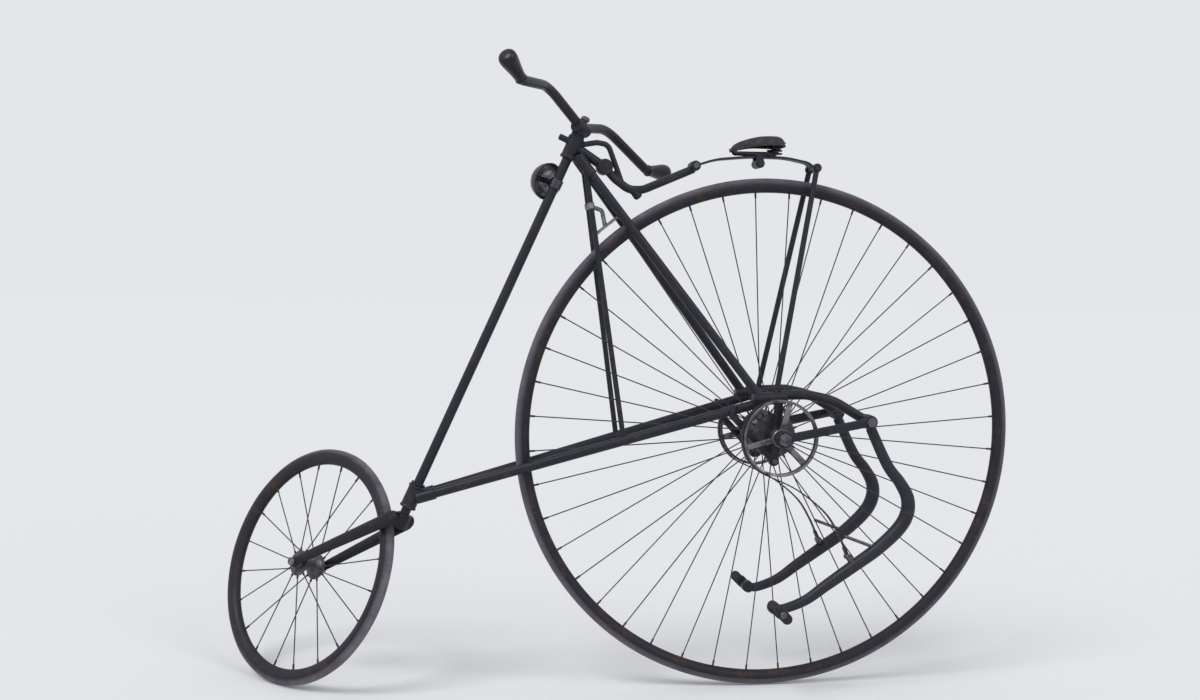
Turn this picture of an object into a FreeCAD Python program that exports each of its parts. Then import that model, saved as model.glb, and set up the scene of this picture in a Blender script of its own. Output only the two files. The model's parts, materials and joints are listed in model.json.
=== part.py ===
import FreeCAD, Part
import math
import os
import Sketcher

# Lever-driven high-wheel bicycle: a small steered wheel in front, a big driven wheel behind.
# The row frame has +X forward, +Y to the left and +Z up, with its origin on top of the saddle.
# Places are given from the foot of the big wheel's centre: forward, left, above the ground.

V = FreeCAD.Vector
Placement = FreeCAD.Placement
Rotation = FreeCAD.Rotation

# Driving dimensions in millimetres, degrees and counts
SIZES = [
    # Big wheel
    ("rear_radius", 647.7),
    ("tyre_section", 26.0),
    ("tyre_gap", 0.2),
    ("rim_width", 29.0),
    ("rim_floor_width", 11.0),
    ("rear_rim_reach", 37.0),
    ("rear_spokes", 44.0),
    ("spoke_radius", 1.9),
    ("spoke_gap", 0.3),
    ("rear_axle_radius", 10.0),
    ("rear_flange_radius", 56.0),
    ("rear_flange_out", 58.0),
    ("rear_barrel_radius", 24.0),
    ("rear_hub_half", 79.0),
    ("flange_thick", 6.0),
    ("rear_axle_half", 164.0),
    ("rear_nut_radius", 17.0),
    ("rear_nut_thick", 9.0),
    ("running_gap", 0.05),
    # Small wheel
    ("front_radius", 304.8),
    ("front_rim_reach", 41.0),
    ("front_spokes", 20.0),
    ("front_axle_radius", 5.0),
    ("front_flange_radius", 33.0),
    ("front_flange_out", 28.0),
    ("front_barrel_radius", 15.0),
    ("front_hub_half", 37.0),
    ("front_cone_radius", 9.0),
    ("front_cone_gap", 0.3),
    ("fork_half", 46.0),
    ("fork_end_thick", 10.0),
    ("fork_end_radius", 13.0),
    ("front_nut_radius", 11.0),
    ("front_nut_thick", 8.0),
    # Steering line and the turn at rest
    ("steer_lean", 23.97),
    ("steer_turn", -51.57),
    ("steer_ahead", 290.8),
    ("steer_above", 95.2),
    ("front_trail_fwd", 247.7),
    ("front_drop", 190.0),
    ("column_radius", 12.0),
    ("column_bottom", 56.0),
    ("column_stand", 6.0),
    ("sleeve_wall", 7.0),
    ("lower_sleeve_bottom", 72.0),
    ("lower_sleeve_length", 60.0),
    ("head_lift", 86.0),
    ("upper_sleeve_length", 58.0),
    ("lamp_lug_radius", 8.0),
    ("lamp_lug_reach", 42.0),
    # Fork
    ("crown_radius", 19.0),
    ("crown_bottom", 20.0),
    ("crown_half", 36.0),
    ("crown_bar_radius", 17.0),
    ("blade_deep", 15.0),
    ("blade_thick", 8.0),
    ("blade_end_deep", 10.0),
    ("blade_end_thick", 5.5),
    # Handlebar
    ("bar_radius", 12.0),
    ("bar_lift", 26.0),
    ("bar_turn", 6.0),
    ("bar_bow_half", 135.0),
    ("bar_bow_ahead", 37.0),
    ("bar_bow_rise", 45.0),
    ("bar_end_half", 287.0),
    ("bar_end_back", 21.0),
    ("bar_end_rise", 5.0),
    ("grip_length", 90.0),
    ("grip_lift_angle", 17.0),
    ("grip_radius", 22.0),
    ("clamp_radius", 18.0),
    ("clamp_half", 24.0),
    ("clamp_bolt_radius", 7.0),
    # Bell on the column
    ("bell_drop", 68.0),
    ("bell_radius", 46.0),
    ("bell_depth", 42.0),
    ("bell_wall", 2.5),
    ("bell_ahead", 28.0),
    ("bell_stem_radius", 7.0),
    # Frame tubes
    ("upper_tube_radius", 11.0),
    ("lower_tube_radius", 12.0),
    ("strut_radius", 6.5),
    ("stay_radius", 7.0),
    ("socket_wall", 3.0),
    ("upper_socket_length", 62.0),
    ("lower_socket_length", 64.0),
    ("strut_foot_along", 543.0),
    ("junction_y", 84.0),
    ("junction_radius", 16.0),
    ("junction_rise", 94.3),
    ("head_arm_radius", 12.0),
    ("head_boss_radius", 20.0),
    # Axle brackets
    ("bracket_thick", 12.0),
    ("bracket_width", 22.0),
    ("bearing_radius", 24.0),
    ("bearing_extra", 4.0),
    # Drums
    ("drum_radius", 96.0),
    ("drum_wall", 7.0),
    ("drum_inner_y", 106.0),
    ("drum_width", 22.0),
    ("drum_collar", 23.0),
    ("drum_arm_width", 14.0),
    ("drum_arm_thick", 7.0),
    # Levers, their carriers and pins
    ("pivot_back", 222.0),
    ("pivot_rise", 42.3),
    ("lever_y", 125.0),
    ("lever_eye_radius", 18.0),
    ("lever_eye_width", 22.0),
    ("lever_toe_radius", 15.0),
    ("lever_toe_width", 26.0),
    ("lever_pin_radius", 9.0),
    ("carrier_radius", 12.5),
    ("carrier_eye_radius", 17.0),
    ("link_y", 141.0),
    ("link_thick", 10.0),
    ("link_width", 22.0),
    ("link_front_radius", 21.0),
    # Pedals
    ("pedal_back", 232.0),
    ("pedal_down", 463.0),
    ("pedal_inner_y", 146.0),
    ("pedal_length", 62.0),
    ("pedal_plate_thick", 4.0),
    ("pedal_plate_half", 15.0),
    ("pedal_plate_end", 13.0),
    ("pedal_pin_radius", 6.0),
    ("pedal_tube_radius", 9.5),
    ("rubber_section", 18.0),
    ("rubber_off", 19.0),
    ("pedal_tilt", 45.0),
    # Saddle top, where the rider sits, and the seat spring under it
    ("seat_ahead", 23.0),
    ("seat_lift", 104.6),
    ("neck_radius", 7.0),
    ("seat_bar_radius", 10.5),
    ("spring_width", 36.0),
    ("spring_thick", 6.0),
    ("yoke_radius", 7.0),
    ("yoke_half", 36.0),
    ("yoke_back", 106.0),
    ("rail_radius", 4.5),
    # Straps and brake
    ("strap_width", 16.0),
    ("strap_thick", 3.0),
    ("strap_gap", 0.3),
    ("spoon_width", 34.0),
    ("spoon_thick", 4.0),
    ("spoon_lift", 25.0),
    ("spoon_angle", 50.4),
    ("spoon_length", 74.0),
    ("brake_arm_radius", 5.5),
]

doc = FreeCAD.newDocument("LeverBicycle")
sheet = doc.addObject("Spreadsheet::Sheet", "Sizes")
for row, (word, number) in enumerate(SIZES, start=1):
    sheet.set("A%d" % row, word)
    sheet.set("B%d" % row, repr(number))
    sheet.setAlias("B%d" % row, word)
doc.recompute()

NODES = []


def size(word):
    """A driving dimension, read from the sheet."""
    return float(sheet.get(word))


axle_z = size("rear_radius")
seat_z = 2 * axle_z + size("seat_lift")


def spot(forward, left, height):
    """A place in the row frame from its distances to the foot of the big wheel's centre."""
    return V(forward - size("seat_ahead"), left, height - seat_z)


def by_axle(forward, left, rise):
    """A place measured from the big wheel's axle."""
    return spot(forward, left, axle_z + rise)


def by_seat(forward, left, drop):
    """A place measured down from the height of the saddle's top."""
    return spot(forward, left, seat_z - drop)


def node(obj, label):
    """Names a finished sub-part and keeps it for the export."""
    obj.Label = label
    NODES.append(obj)
    return obj


def along(start, direction):
    """A placement at a point with its Z axis along a direction."""
    return Placement(start, Rotation(V(0, 0, 1), direction))


def rod(name, start, end, radius):
    """A round bar from one point to another; its radius is an expression on the sheet."""
    bar = doc.addObject("Part::Cylinder", name)
    bar.setExpression("Radius", radius)
    bar.Height = (end - start).Length
    bar.Placement = along(start, end - start)
    return bar


def many_sided(name, start, end, radius, sides=12):
    """A bar of many flat sides, which stands for a round one where nothing turns on it."""
    bar = doc.addObject("Part::Prism", name)
    bar.Polygon = sides
    bar.setExpression("Circumradius", radius)
    bar.Height = (end - start).Length
    bar.Placement = along(start, end - start)
    return bar


def disc(name, centre, axis, radius, thickness, sides=16):
    """A plate of many sides whose middle is at the centre; both sizes are expressions."""
    plate = doc.addObject("Part::Prism", name)
    plate.Polygon = sides
    plate.setExpression("Circumradius", radius)
    plate.setExpression("Height", thickness)
    doc.recompute()
    half = V(axis).normalize() * (plate.Height.Value / 2)
    plate.Placement = along(centre - half, axis)
    return plate


def flat(name, start, end, width, thickness):
    """A flat bar between two points, thick along Y and wide across its own length."""
    bar = doc.addObject("Part::Box", name)
    bar.Length = (end - start).Length
    bar.setExpression("Width", thickness)
    bar.setExpression("Height", width)
    doc.recompute()
    run = (end - start).normalize()
    across = V(0, 1, 0)
    up = run.cross(across)
    corner = start - across * (bar.Width.Value / 2) - up * (bar.Height.Value / 2)
    bar.Placement = Placement(corner, Rotation(run, across, up, "XYZ"))
    return bar


def fuse(name, *pieces):
    """One solid from several that overlap."""
    whole = doc.addObject("Part::MultiFuse", name)
    whole.Shapes = list(pieces)
    whole.Refine = True
    return whole


def cut(name, base, *tools):
    """The base with every tool taken out of it."""
    left = base
    for number, tool in enumerate(tools):
        last = number == len(tools) - 1
        step = doc.addObject("Part::Cut", name if last else name + "_part%d" % number)
        step.Base = left
        step.Tool = tool
        left = step
    return left


def solid_of(name, shape, place=None):
    """Holds a shape that is made straight from the sheet's sizes."""
    piece = doc.addObject("Part::Feature", name)
    piece.Shape = shape
    if place is not None:
        piece.Placement = place
    return piece


def bends(points, radii, step=22.0):
    """The corners of a line whose bends are rounded by short chords of at most one step's turn."""
    line = [points[0]]
    for number, radius in enumerate(radii, start=1):
        corner = points[number]
        before = (corner - points[number - 1]).normalize()
        after = (points[number + 1] - corner).normalize()
        turn = before.getAngle(after)
        pieces = max(1, math.ceil(math.degrees(turn) / step))
        first = corner - before * (radius * math.tan(turn / 2))
        inward = (after - before * after.dot(before)).normalize()
        chord_radius = radius / math.cos(turn / pieces / 2)
        for k in range(pieces):
            angle = turn * (k + 0.5) / pieces
            line.append(first + before * (chord_radius * math.sin(angle))
                        + inward * (radius - chord_radius * math.cos(angle)))
    line.append(points[-1])
    return line


def sweep(name, section, points):
    """A solid made by carrying a section along straight runs with mitred corners."""
    spine = solid_of(name + "_line", Part.makePolygon(points))
    body = doc.addObject("Part::Sweep", name)
    body.Sections = [section]
    body.Spine = (spine, ["Edge%d" % (k + 1) for k in range(len(points) - 1)])
    body.Transition = "Right corner"
    body.Solid = True
    body.Frenet = False
    return body


def bent_rod(name, points, radii, radius, sides=10):
    """A bar bent along straight runs and rounded bends."""
    section = doc.addObject("Part::RegularPolygon", name + "_section")
    section.Polygon = sides
    section.setExpression("Circumradius", radius)
    section.Placement = along(points[0], points[1] - points[0])
    return sweep(name, section, bends(points, radii))


def bent_strip(name, points, radii, deep_way, width, thickness):
    """A flat strip bent along a line, wide along Y and thick along the given direction."""
    across = V(0, 1, 0) * (width / 2)
    deep = V(deep_way).normalize() * (thickness / 2)
    start = points[0]
    corners = [start - across - deep, start + across - deep, start + across + deep, start - across + deep]
    section = solid_of(name + "_section", Part.makePolygon(corners + corners[:1]))
    return sweep(name, section, bends(points, radii))


def oval(centre, run, side, across, deep, sides=10):
    """Points round an oval that is square to a run, from its half width and half depth."""
    side = V(side).normalize()
    third = V(run).cross(side).normalize()
    ring = []
    for k in range(sides):
        around = 2 * math.pi * (k + 0.5) / sides
        ring.append(centre + side * (across * math.cos(around)) + third * (deep * math.sin(around)))
    return ring


def flat_faced(name, rings):
    """A closed solid of flat faces through a row of rings, for forms that swell or taper."""
    faces = [Part.Face(Part.makePolygon(end + end[:1])) for end in (rings[0], rings[-1])]
    for near, far in zip(rings, rings[1:]):
        for k, corner in enumerate(near):
            after = (k + 1) % len(near)
            for triangle in ([corner, near[after], far[after]], [corner, far[after], far[k]]):
                faces.append(Part.Face(Part.makePolygon(triangle + triangle[:1])))
    shell = Part.Shell(faces)
    shell.sewShape()
    body = Part.Solid(shell)
    if body.Volume < 0:
        body.reverse()
    return solid_of(name, body)


def outline(body, name, corners):
    """A closed outline of straight sides; each corner is a pair of expressions."""
    sketch = body.newObject("Sketcher::SketchObject", name)
    origin = next(f for f in body.Origin.OriginFeatures if f.Role == "XY_Plane")
    sketch.AttachmentSupport = [(origin, "")]
    sketch.MapMode = "FlatFace"
    count = len(corners)
    ring = [V(50 * math.cos(2 * math.pi * k / count), 50 * math.sin(2 * math.pi * k / count), 0)
            for k in range(count)]
    for k in range(count):
        sketch.addGeometry(Part.LineSegment(ring[k], ring[(k + 1) % count]))
    for k in range(count):
        sketch.addConstraint(Sketcher.Constraint("Coincident", k, 2, (k + 1) % count, 1))
    for k, corner in enumerate(corners):
        for kind, text in zip(("DistanceX", "DistanceY"), corner):
            place = sketch.addConstraint(Sketcher.Constraint(kind, k, 1, 20.0))
            sketch.setExpression("Constraints[%d]" % place, text)
    return sketch


def turned(name, corners, place):
    """A body turned about the wheel's axle from its outline."""
    body = doc.addObject("PartDesign::Body", name)
    sketch = outline(body, name + "_outline", corners)
    solid = body.newObject("PartDesign::Revolution", name + "_turn")
    solid.Profile = sketch
    solid.ReferenceAxis = (sketch, ["V_Axis"])
    solid.Angle = 360.0
    body.Placement = place
    return body


# The eight corners of a tyre's section lie on one circle; its flats touch the real round section
TYRE_CORNERS = [(math.cos(a) / math.cos(math.pi / 8), math.sin(a) / math.cos(math.pi / 8))
                for a in (math.pi * (2 * k + 1) / 8 for k in range(8))]


def tyre(name, wheel_radius, place):
    """A solid rubber tyre, with a flat for each eighth of its round section."""
    half = "Sizes.tyre_section / 2"
    corners = [("%s - %s + %s * %.5f" % (wheel_radius, half, half, out), "%s * %.5f" % (half, side))
               for out, side in TYRE_CORNERS]
    return turned(name, corners, place)


def rim(name, wheel_radius, reach, place):
    """A hollowed rim whose channel follows the tyre's lower flats with a small gap."""
    seat = "(Sizes.tyre_section / 2 + Sizes.tyre_gap)"
    lip, low = TYRE_CORNERS[2], TYRE_CORNERS[3]
    lip_out = "%s - Sizes.tyre_section / 2 + %s * %.5f" % (wheel_radius, seat, lip[0])
    low_out = "%s - Sizes.tyre_section / 2 + %s * %.5f" % (wheel_radius, seat, low[0])
    low_side = "%s * %.5f" % (seat, low[1])
    inside = "%s - %s" % (wheel_radius, reach)
    corners = [
        (inside, "Sizes.rim_floor_width / -2"), (inside, "Sizes.rim_floor_width / 2"),
        (lip_out, "Sizes.rim_width / 2"), (low_out, low_side),
        (low_out, "-" + low_side), (lip_out, "Sizes.rim_width / -2"),
    ]
    return turned(name, corners, place)


def spokes(name, count, flange_radius, flange_out, rim_inside, place):
    """Straight square spokes, from each hub flange in turn to the middle of the rim."""
    gap = size("spoke_gap")
    bars = []
    for k in range(count):
        angle = 2 * math.pi * (k + 0.5) / count
        side = 1 if k % 2 else -1
        spread = V(math.cos(angle), 0, math.sin(angle))
        start = spread * (flange_radius + gap) + V(0, side * flange_out, 0)
        end = spread * (rim_inside - gap) + V(0, side * size("rim_floor_width") / 4, 0)
        ring = oval(start, end - start, V(0, 1, 0), size("spoke_radius"), size("spoke_radius"), 4)
        bars.append(Part.Face(Part.makePolygon(ring + ring[:1])).extrude(end - start))
    return solid_of(name, Part.makeCompound(bars), place)


def hub(name, bore, barrel, flange, flange_out, half, place):
    """A barrel with two thin flanges and a bore through it."""
    side = place.Rotation.multVec(V(0, 1, 0))
    centre = place.Base
    core = many_sided(name + "Barrel", centre - side * half, centre + side * half, barrel, 16)
    parts = [core]
    for way, word in ((1, "Left"), (-1, "Right")):
        parts.append(disc(name + "Flange" + word, centre + side * (way * flange_out), side, flange,
                          "Sizes.flange_thick", 24))
    whole = fuse(name + "Body", *parts)
    tool = rod(name + "Bore", centre - side * (half + 5), centre + side * (half + 5), bore)
    return cut(name, whole, tool)


# Big wheel: tyre, rim, spokes, hub and the axle that turns with it
rear_place = Placement(by_axle(0, 0, 0), Rotation())
rear_centre = rear_place.Base
left_way = V(0, 1, 0)

node(tyre("RearTyre", "Sizes.rear_radius", rear_place), "rear_tyre")
node(rim("RearRim", "Sizes.rear_radius", "Sizes.rear_rim_reach", rear_place), "rear_rim")
node(spokes("RearSpokes", int(size("rear_spokes")), size("rear_flange_radius"), size("rear_flange_out"),
            size("rear_radius") - size("rear_rim_reach"), rear_place), "rear_spokes")
node(hub("RearHub", "Sizes.rear_axle_radius", "Sizes.rear_barrel_radius", "Sizes.rear_flange_radius",
         size("rear_flange_out"), size("rear_hub_half"), rear_place), "rear_hub")

shaft_half = left_way * size("rear_axle_half")
rear_parts = [rod("RearShaft", rear_centre - shaft_half, rear_centre + shaft_half, "Sizes.rear_axle_radius")]
for way, word in ((1, "Left"), (-1, "Right")):
    nut_face = rear_centre + shaft_half * way
    rear_parts.append(many_sided("RearNut" + word, nut_face - left_way * (way * size("rear_nut_thick")),
                                 nut_face, "Sizes.rear_nut_radius", 6))
node(fuse("RearAxle", *rear_parts), "rear_axle")

# Steering frame: its Z runs up the steering line, its Y to the left of the turned wheel
lean = Rotation(V(0, 1, 0), -size("steer_lean"))
turn = Rotation(V(0, 0, 1), size("steer_turn"))
bar_turn = Rotation(V(0, 0, 1), size("bar_turn"))
foot_x = size("rear_radius") + size("steer_ahead")
foot_z = size("front_radius") + size("steer_above")
foot = spot(foot_x, 0, foot_z)
steer = Placement(foot, lean.multiply(turn))
straight = Placement(foot, lean)
bar_frame = Placement(foot, steer.Rotation.multiply(bar_turn))

# Heights along the steering line: the head rises with the big wheel, the bar with the head
upper_sleeve_top = (2 * axle_z + size("head_lift") - foot_z) / math.cos(math.radians(size("steer_lean")))
upper_sleeve_bottom = upper_sleeve_top - size("upper_sleeve_length")
lower_sleeve_bottom = size("lower_sleeve_bottom")
lower_sleeve_top = lower_sleeve_bottom + size("lower_sleeve_length")
column_top = upper_sleeve_top + size("column_stand")
bar_z = upper_sleeve_top + size("bar_lift")
bell_z = upper_sleeve_bottom - size("bell_drop")


def steered(forward, left, up):
    """A place in the steering frame, given in the row frame."""
    return steer.multVec(V(forward, left, up))


def on_bar(forward, left, rise):
    """A place measured from the middle of the handlebar."""
    return bar_frame.multVec(V(forward, left, bar_z + rise))


def on_line(height, back=0.0, left=0.0):
    """A place beside the steering line, in the frame's own plane."""
    return straight.multVec(V(-back, left, height))


# Small wheel
trail = size("front_trail_fwd")
drop = -size("front_drop")
front_centre = steered(trail, 0, drop)
front_place = Placement(front_centre, steer.Rotation)
front_way = steer.Rotation.multVec(left_way)
node(tyre("FrontTyre", "Sizes.front_radius", front_place), "front_tyre")
node(rim("FrontRim", "Sizes.front_radius", "Sizes.front_rim_reach", front_place), "front_rim")
node(spokes("FrontSpokes", int(size("front_spokes")), size("front_flange_radius"),
            size("front_flange_out"), size("front_radius") - size("front_rim_reach"), front_place),
     "front_spokes")
node(hub("FrontHub", "Sizes.front_axle_radius + Sizes.running_gap", "Sizes.front_barrel_radius",
         "Sizes.front_flange_radius", size("front_flange_out"), size("front_hub_half"), front_place),
     "front_hub")

eye_in = size("fork_half") - size("fork_end_thick") / 2
eye_out = size("fork_half") + size("fork_end_thick") / 2
nut_out = eye_out + size("front_nut_thick")
cone_in = size("front_hub_half") + size("front_cone_gap")
axle_parts = [rod("FrontShaft", front_centre - front_way * nut_out, front_centre + front_way * nut_out,
                  "Sizes.front_axle_radius")]
for way, word in ((1, "Left"), (-1, "Right")):
    reach = front_way * way
    axle_parts.append(many_sided("FrontCone" + word, front_centre + reach * cone_in,
                                 front_centre + reach * eye_in, "Sizes.front_cone_radius"))
    axle_parts.append(many_sided("FrontNut" + word, front_centre + reach * eye_out,
                                 front_centre + reach * nut_out, "Sizes.front_nut_radius", 6))
front_axle = node(fuse("FrontAxle", *axle_parts), "front_axle")

# Column, fork crown and blades
column = rod("Column", steered(0, 0, size("column_bottom")), steered(0, 0, column_top),
             "Sizes.column_radius")
node(column, "steering_column")

CROWN_AHEAD = 4.0
crown_post = many_sided("CrownPost", steered(0, 0, size("crown_bottom")),
                        steered(0, 0, size("column_bottom")), "Sizes.crown_radius", 16)
crown_z = size("column_bottom") - size("crown_bar_radius") - 1
crown_bar = many_sided("CrownBar", steered(CROWN_AHEAD, -size("crown_half"), crown_z),
                       steered(CROWN_AHEAD, size("crown_half"), crown_z), "Sizes.crown_bar_radius")
fork_parts = [crown_post, crown_bar]
for side, word in ((1, "Left"), (-1, "Right")):
    top = V(CROWN_AHEAD, side * (size("crown_half") - 6), crown_z)
    bottom = V(trail, side * size("fork_half"), drop)
    run = bottom - top
    rings = []
    for share in (0.0, 0.5, 1.0):
        deep = size("blade_deep") + (size("blade_end_deep") - size("blade_deep")) * share
        thick = size("blade_thick") + (size("blade_end_thick") - size("blade_thick")) * share
        rings.append([steer.multVec(p) for p in oval(top + run * share, run, left_way, thick, deep)])
    eye = disc("ForkEye%s" % word, steered(bottom.x, bottom.y, bottom.z), front_way,
               "Sizes.fork_end_radius", "Sizes.fork_end_thick")
    fork_parts += [flat_faced("Blade%s" % word, rings), eye]
fork_body = fuse("ForkBody", *fork_parts)
node(cut("Fork", fork_body, front_axle), "front_fork")

# Handlebar: a moustache that rises, bows forward and drops back, with a pear-shaped grip at each end
bow = V(size("bar_bow_ahead"), size("bar_bow_half"), size("bar_bow_rise"))
end = V(-size("bar_end_back"), size("bar_end_half"), size("bar_end_rise"))
grip_angle = math.radians(size("grip_lift_angle"))
grip_run = V(0, math.cos(grip_angle), math.sin(grip_angle))
tip = end + grip_run * (size("grip_length") * 0.7)
half_bar = [bow, end, tip]
bar_points = [on_bar(p.x, -p.y, p.z) for p in reversed(half_bar)]
bar_points.append(on_bar(0, 0, 0))
bar_points += [on_bar(p.x, p.y, p.z) for p in half_bar]
handlebar = bent_rod("Handlebar", bar_points, [30, 90, 60, 90, 30], "Sizes.bar_radius", 12)
node(handlebar, "handlebar")

GRIP_FORM = ((0.08, 0.62), (0.22, 0.68), (0.5, 0.84), (0.76, 1.0), (0.93, 0.8), (1.0, 0.45))
for side, word in ((1, "left"), (-1, "right")):
    rings = []
    for share, bulge in GRIP_FORM:
        centre = end + grip_run * (size("grip_length") * share)
        radius = size("grip_radius") * bulge
        ring = oval(V(centre.x, side * centre.y, centre.z), V(0, side * grip_run.y, grip_run.z),
                    V(1, 0, 0), radius, radius)
        rings.append([on_bar(p.x, p.y, p.z) for p in ring])
    node(cut("Grip_%s" % word, flat_faced("GripForm_%s" % word, rings), handlebar), "%s_grip" % word)

clamp_bar = many_sided("ClampBar", on_bar(0, -size("clamp_half"), 0), on_bar(0, size("clamp_half"), 0),
                       "Sizes.clamp_radius")
clamp_stem = many_sided("ClampStem", steered(0, 0, column_top), steered(0, 0, bar_z), "Sizes.clamp_radius")
clamp_bolt = many_sided("ClampBolt", on_bar(0, 0, 0), on_bar(0, 0, size("clamp_radius") + 13),
                        "Sizes.clamp_bolt_radius", 6)
clamp_body = fuse("ClampBody", clamp_bar, clamp_stem, clamp_bolt)
node(cut("Clamp", clamp_body, handlebar), "handlebar_clamp")

# Bell: a thin dome whose open side faces the column, on a stem from a band round the column
DOME_FORM = ((0.0, 1.0), (0.42, 0.93), (0.74, 0.7), (1.0, 0.3))


def dome(name, depth, radius):
    """A domed solid of rings from the bell's mouth forward."""
    rings = []
    for share, bulge in DOME_FORM:
        ring = oval(V(size("bell_ahead") + depth * share, 0, bell_z), V(1, 0, 0), left_way,
                    radius * bulge, radius * bulge, 16)
        rings.append([steer.multVec(p) for p in ring])
    return flat_faced(name, rings)


bell_outside = dome("BellOutside", size("bell_depth"), size("bell_radius"))
bell_inside = dome("BellInside", size("bell_depth") - size("bell_wall"),
                   size("bell_radius") - size("bell_wall"))
bell_shell = cut("BellShell", bell_outside, bell_inside)
BAND_HALF = 12.0
bell_band = many_sided("BellBand", steered(0, 0, bell_z - BAND_HALF), steered(0, 0, bell_z + BAND_HALF),
                       "Sizes.column_radius + 4")
bell_stem = many_sided("BellStem", steered(size("column_radius"), 0, bell_z),
                       steered(size("bell_ahead") + size("bell_depth") - 1, 0, bell_z),
                       "Sizes.bell_stem_radius", 8)
bell_body = fuse("BellBody", bell_shell, bell_band, bell_stem)
node(cut("Bell", bell_body, column), "bell")

# Heads: sleeves round the column with sockets for the frame's tubes
sleeve_radius = "Sizes.column_radius + Sizes.sleeve_wall"
bore_radius = "Sizes.column_radius + Sizes.running_gap"
upper_sleeve = many_sided("UpperSleeve", on_line(upper_sleeve_bottom), on_line(upper_sleeve_top),
                          sleeve_radius, 16)
lower_sleeve = many_sided("LowerSleeve", on_line(lower_sleeve_bottom), on_line(lower_sleeve_top),
                          sleeve_radius, 16)
head_bore = rod("HeadBore", on_line(0), on_line(column_top + 40), bore_radius)

junction_y = size("junction_y")
lower_start = lower_sleeve_bottom + 22
upper_ends = {}
lower_ends = {}
strut_ends = {}
for side in (1, -1):
    upper_ends[side] = (on_line(upper_sleeve_bottom + 17, 17, side * 15),
                        by_axle(46, side * junction_y, size("junction_rise") + 6))
    lower_ends[side] = (on_line(lower_start, -3, side * 15),
                        by_axle(10, side * junction_y, size("junction_rise")))
    tube_start, tube_end = lower_ends[side]
    tube_run = (tube_end - tube_start).normalize()
    strut_ends[side] = (on_line(upper_sleeve_bottom + 1, 47, side * 18),
                        tube_start + tube_run * size("strut_foot_along"))


def socket(name, ends, length, radius):
    """A short collar on the first stretch of a tube."""
    run = (ends[1] - ends[0]).normalize()
    return many_sided(name, ends[0], ends[0] + run * length, radius)


head_boss = on_line(upper_sleeve_bottom + 22, 92)
head_parts = [upper_sleeve]
for side, word in ((1, "Left"), (-1, "Right")):
    head_parts.append(socket("UpperSocket" + word, upper_ends[side], size("upper_socket_length"),
                             "Sizes.upper_tube_radius + Sizes.socket_wall"))
head_parts.append(many_sided("HeadBoss", head_boss - left_way * 18, head_boss + left_way * 18,
                             "Sizes.head_boss_radius"))
head_parts.append(many_sided("HeadArm", on_line(upper_sleeve_bottom + 34, 12), head_boss,
                             "Sizes.head_arm_radius"))
lug_height = upper_sleeve_top - 16
head_parts.append(many_sided("LampLug", on_line(lug_height), on_line(lug_height, -size("lamp_lug_reach")),
                             "Sizes.lamp_lug_radius"))
head_body = fuse("HeadBody", *head_parts)
upper_head = node(cut("UpperHead", head_body, head_bore), "upper_head")

lug_parts = [lower_sleeve]
for side, word in ((1, "Left"), (-1, "Right")):
    lug_parts.append(socket("LowerSocket" + word, lower_ends[side], size("lower_socket_length"),
                            "Sizes.lower_tube_radius + Sizes.socket_wall"))
lug_body = fuse("LugBody", *lug_parts)
lower_head = node(cut("LowerHead", lug_body, head_bore), "lower_head")

# Each side: bracket at the axle, tubes, lever carrier, lever, drum, pedal and strap
pivot = by_axle(-size("pivot_back"), 0, size("pivot_rise"))
pedal_spot = pivot + V(size("pedal_back"), 0, -size("pedal_down"))
axle_bore = rod("AxleBore", rear_centre - left_way * 200, rear_centre + left_way * 200,
                "Sizes.rear_axle_radius + Sizes.running_gap")
DRUM_ARMS = (75.0, 195.0, 315.0)
# The lever's middle line: back from the pin, down from the pin, and the bar's radius there
LEVER_LINE = [
    (0, 0, 13), (52, 106, 14), (87, 152, 15), (109, 192, 17), (109, 232, 18), (87, 271, 18),
    (34, 320, 17), (-28, 363, 16), (-96, 409, 14.5), (-150, 446, 13), (-204, 466, 12), (-232, 465, 11),
]
# The strap's way down, from its hook on the lever: forward and up
STRAP_KNEES = [(63, 112), (26, 57)]
STRAP_HOOK = (41, -340)


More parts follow.
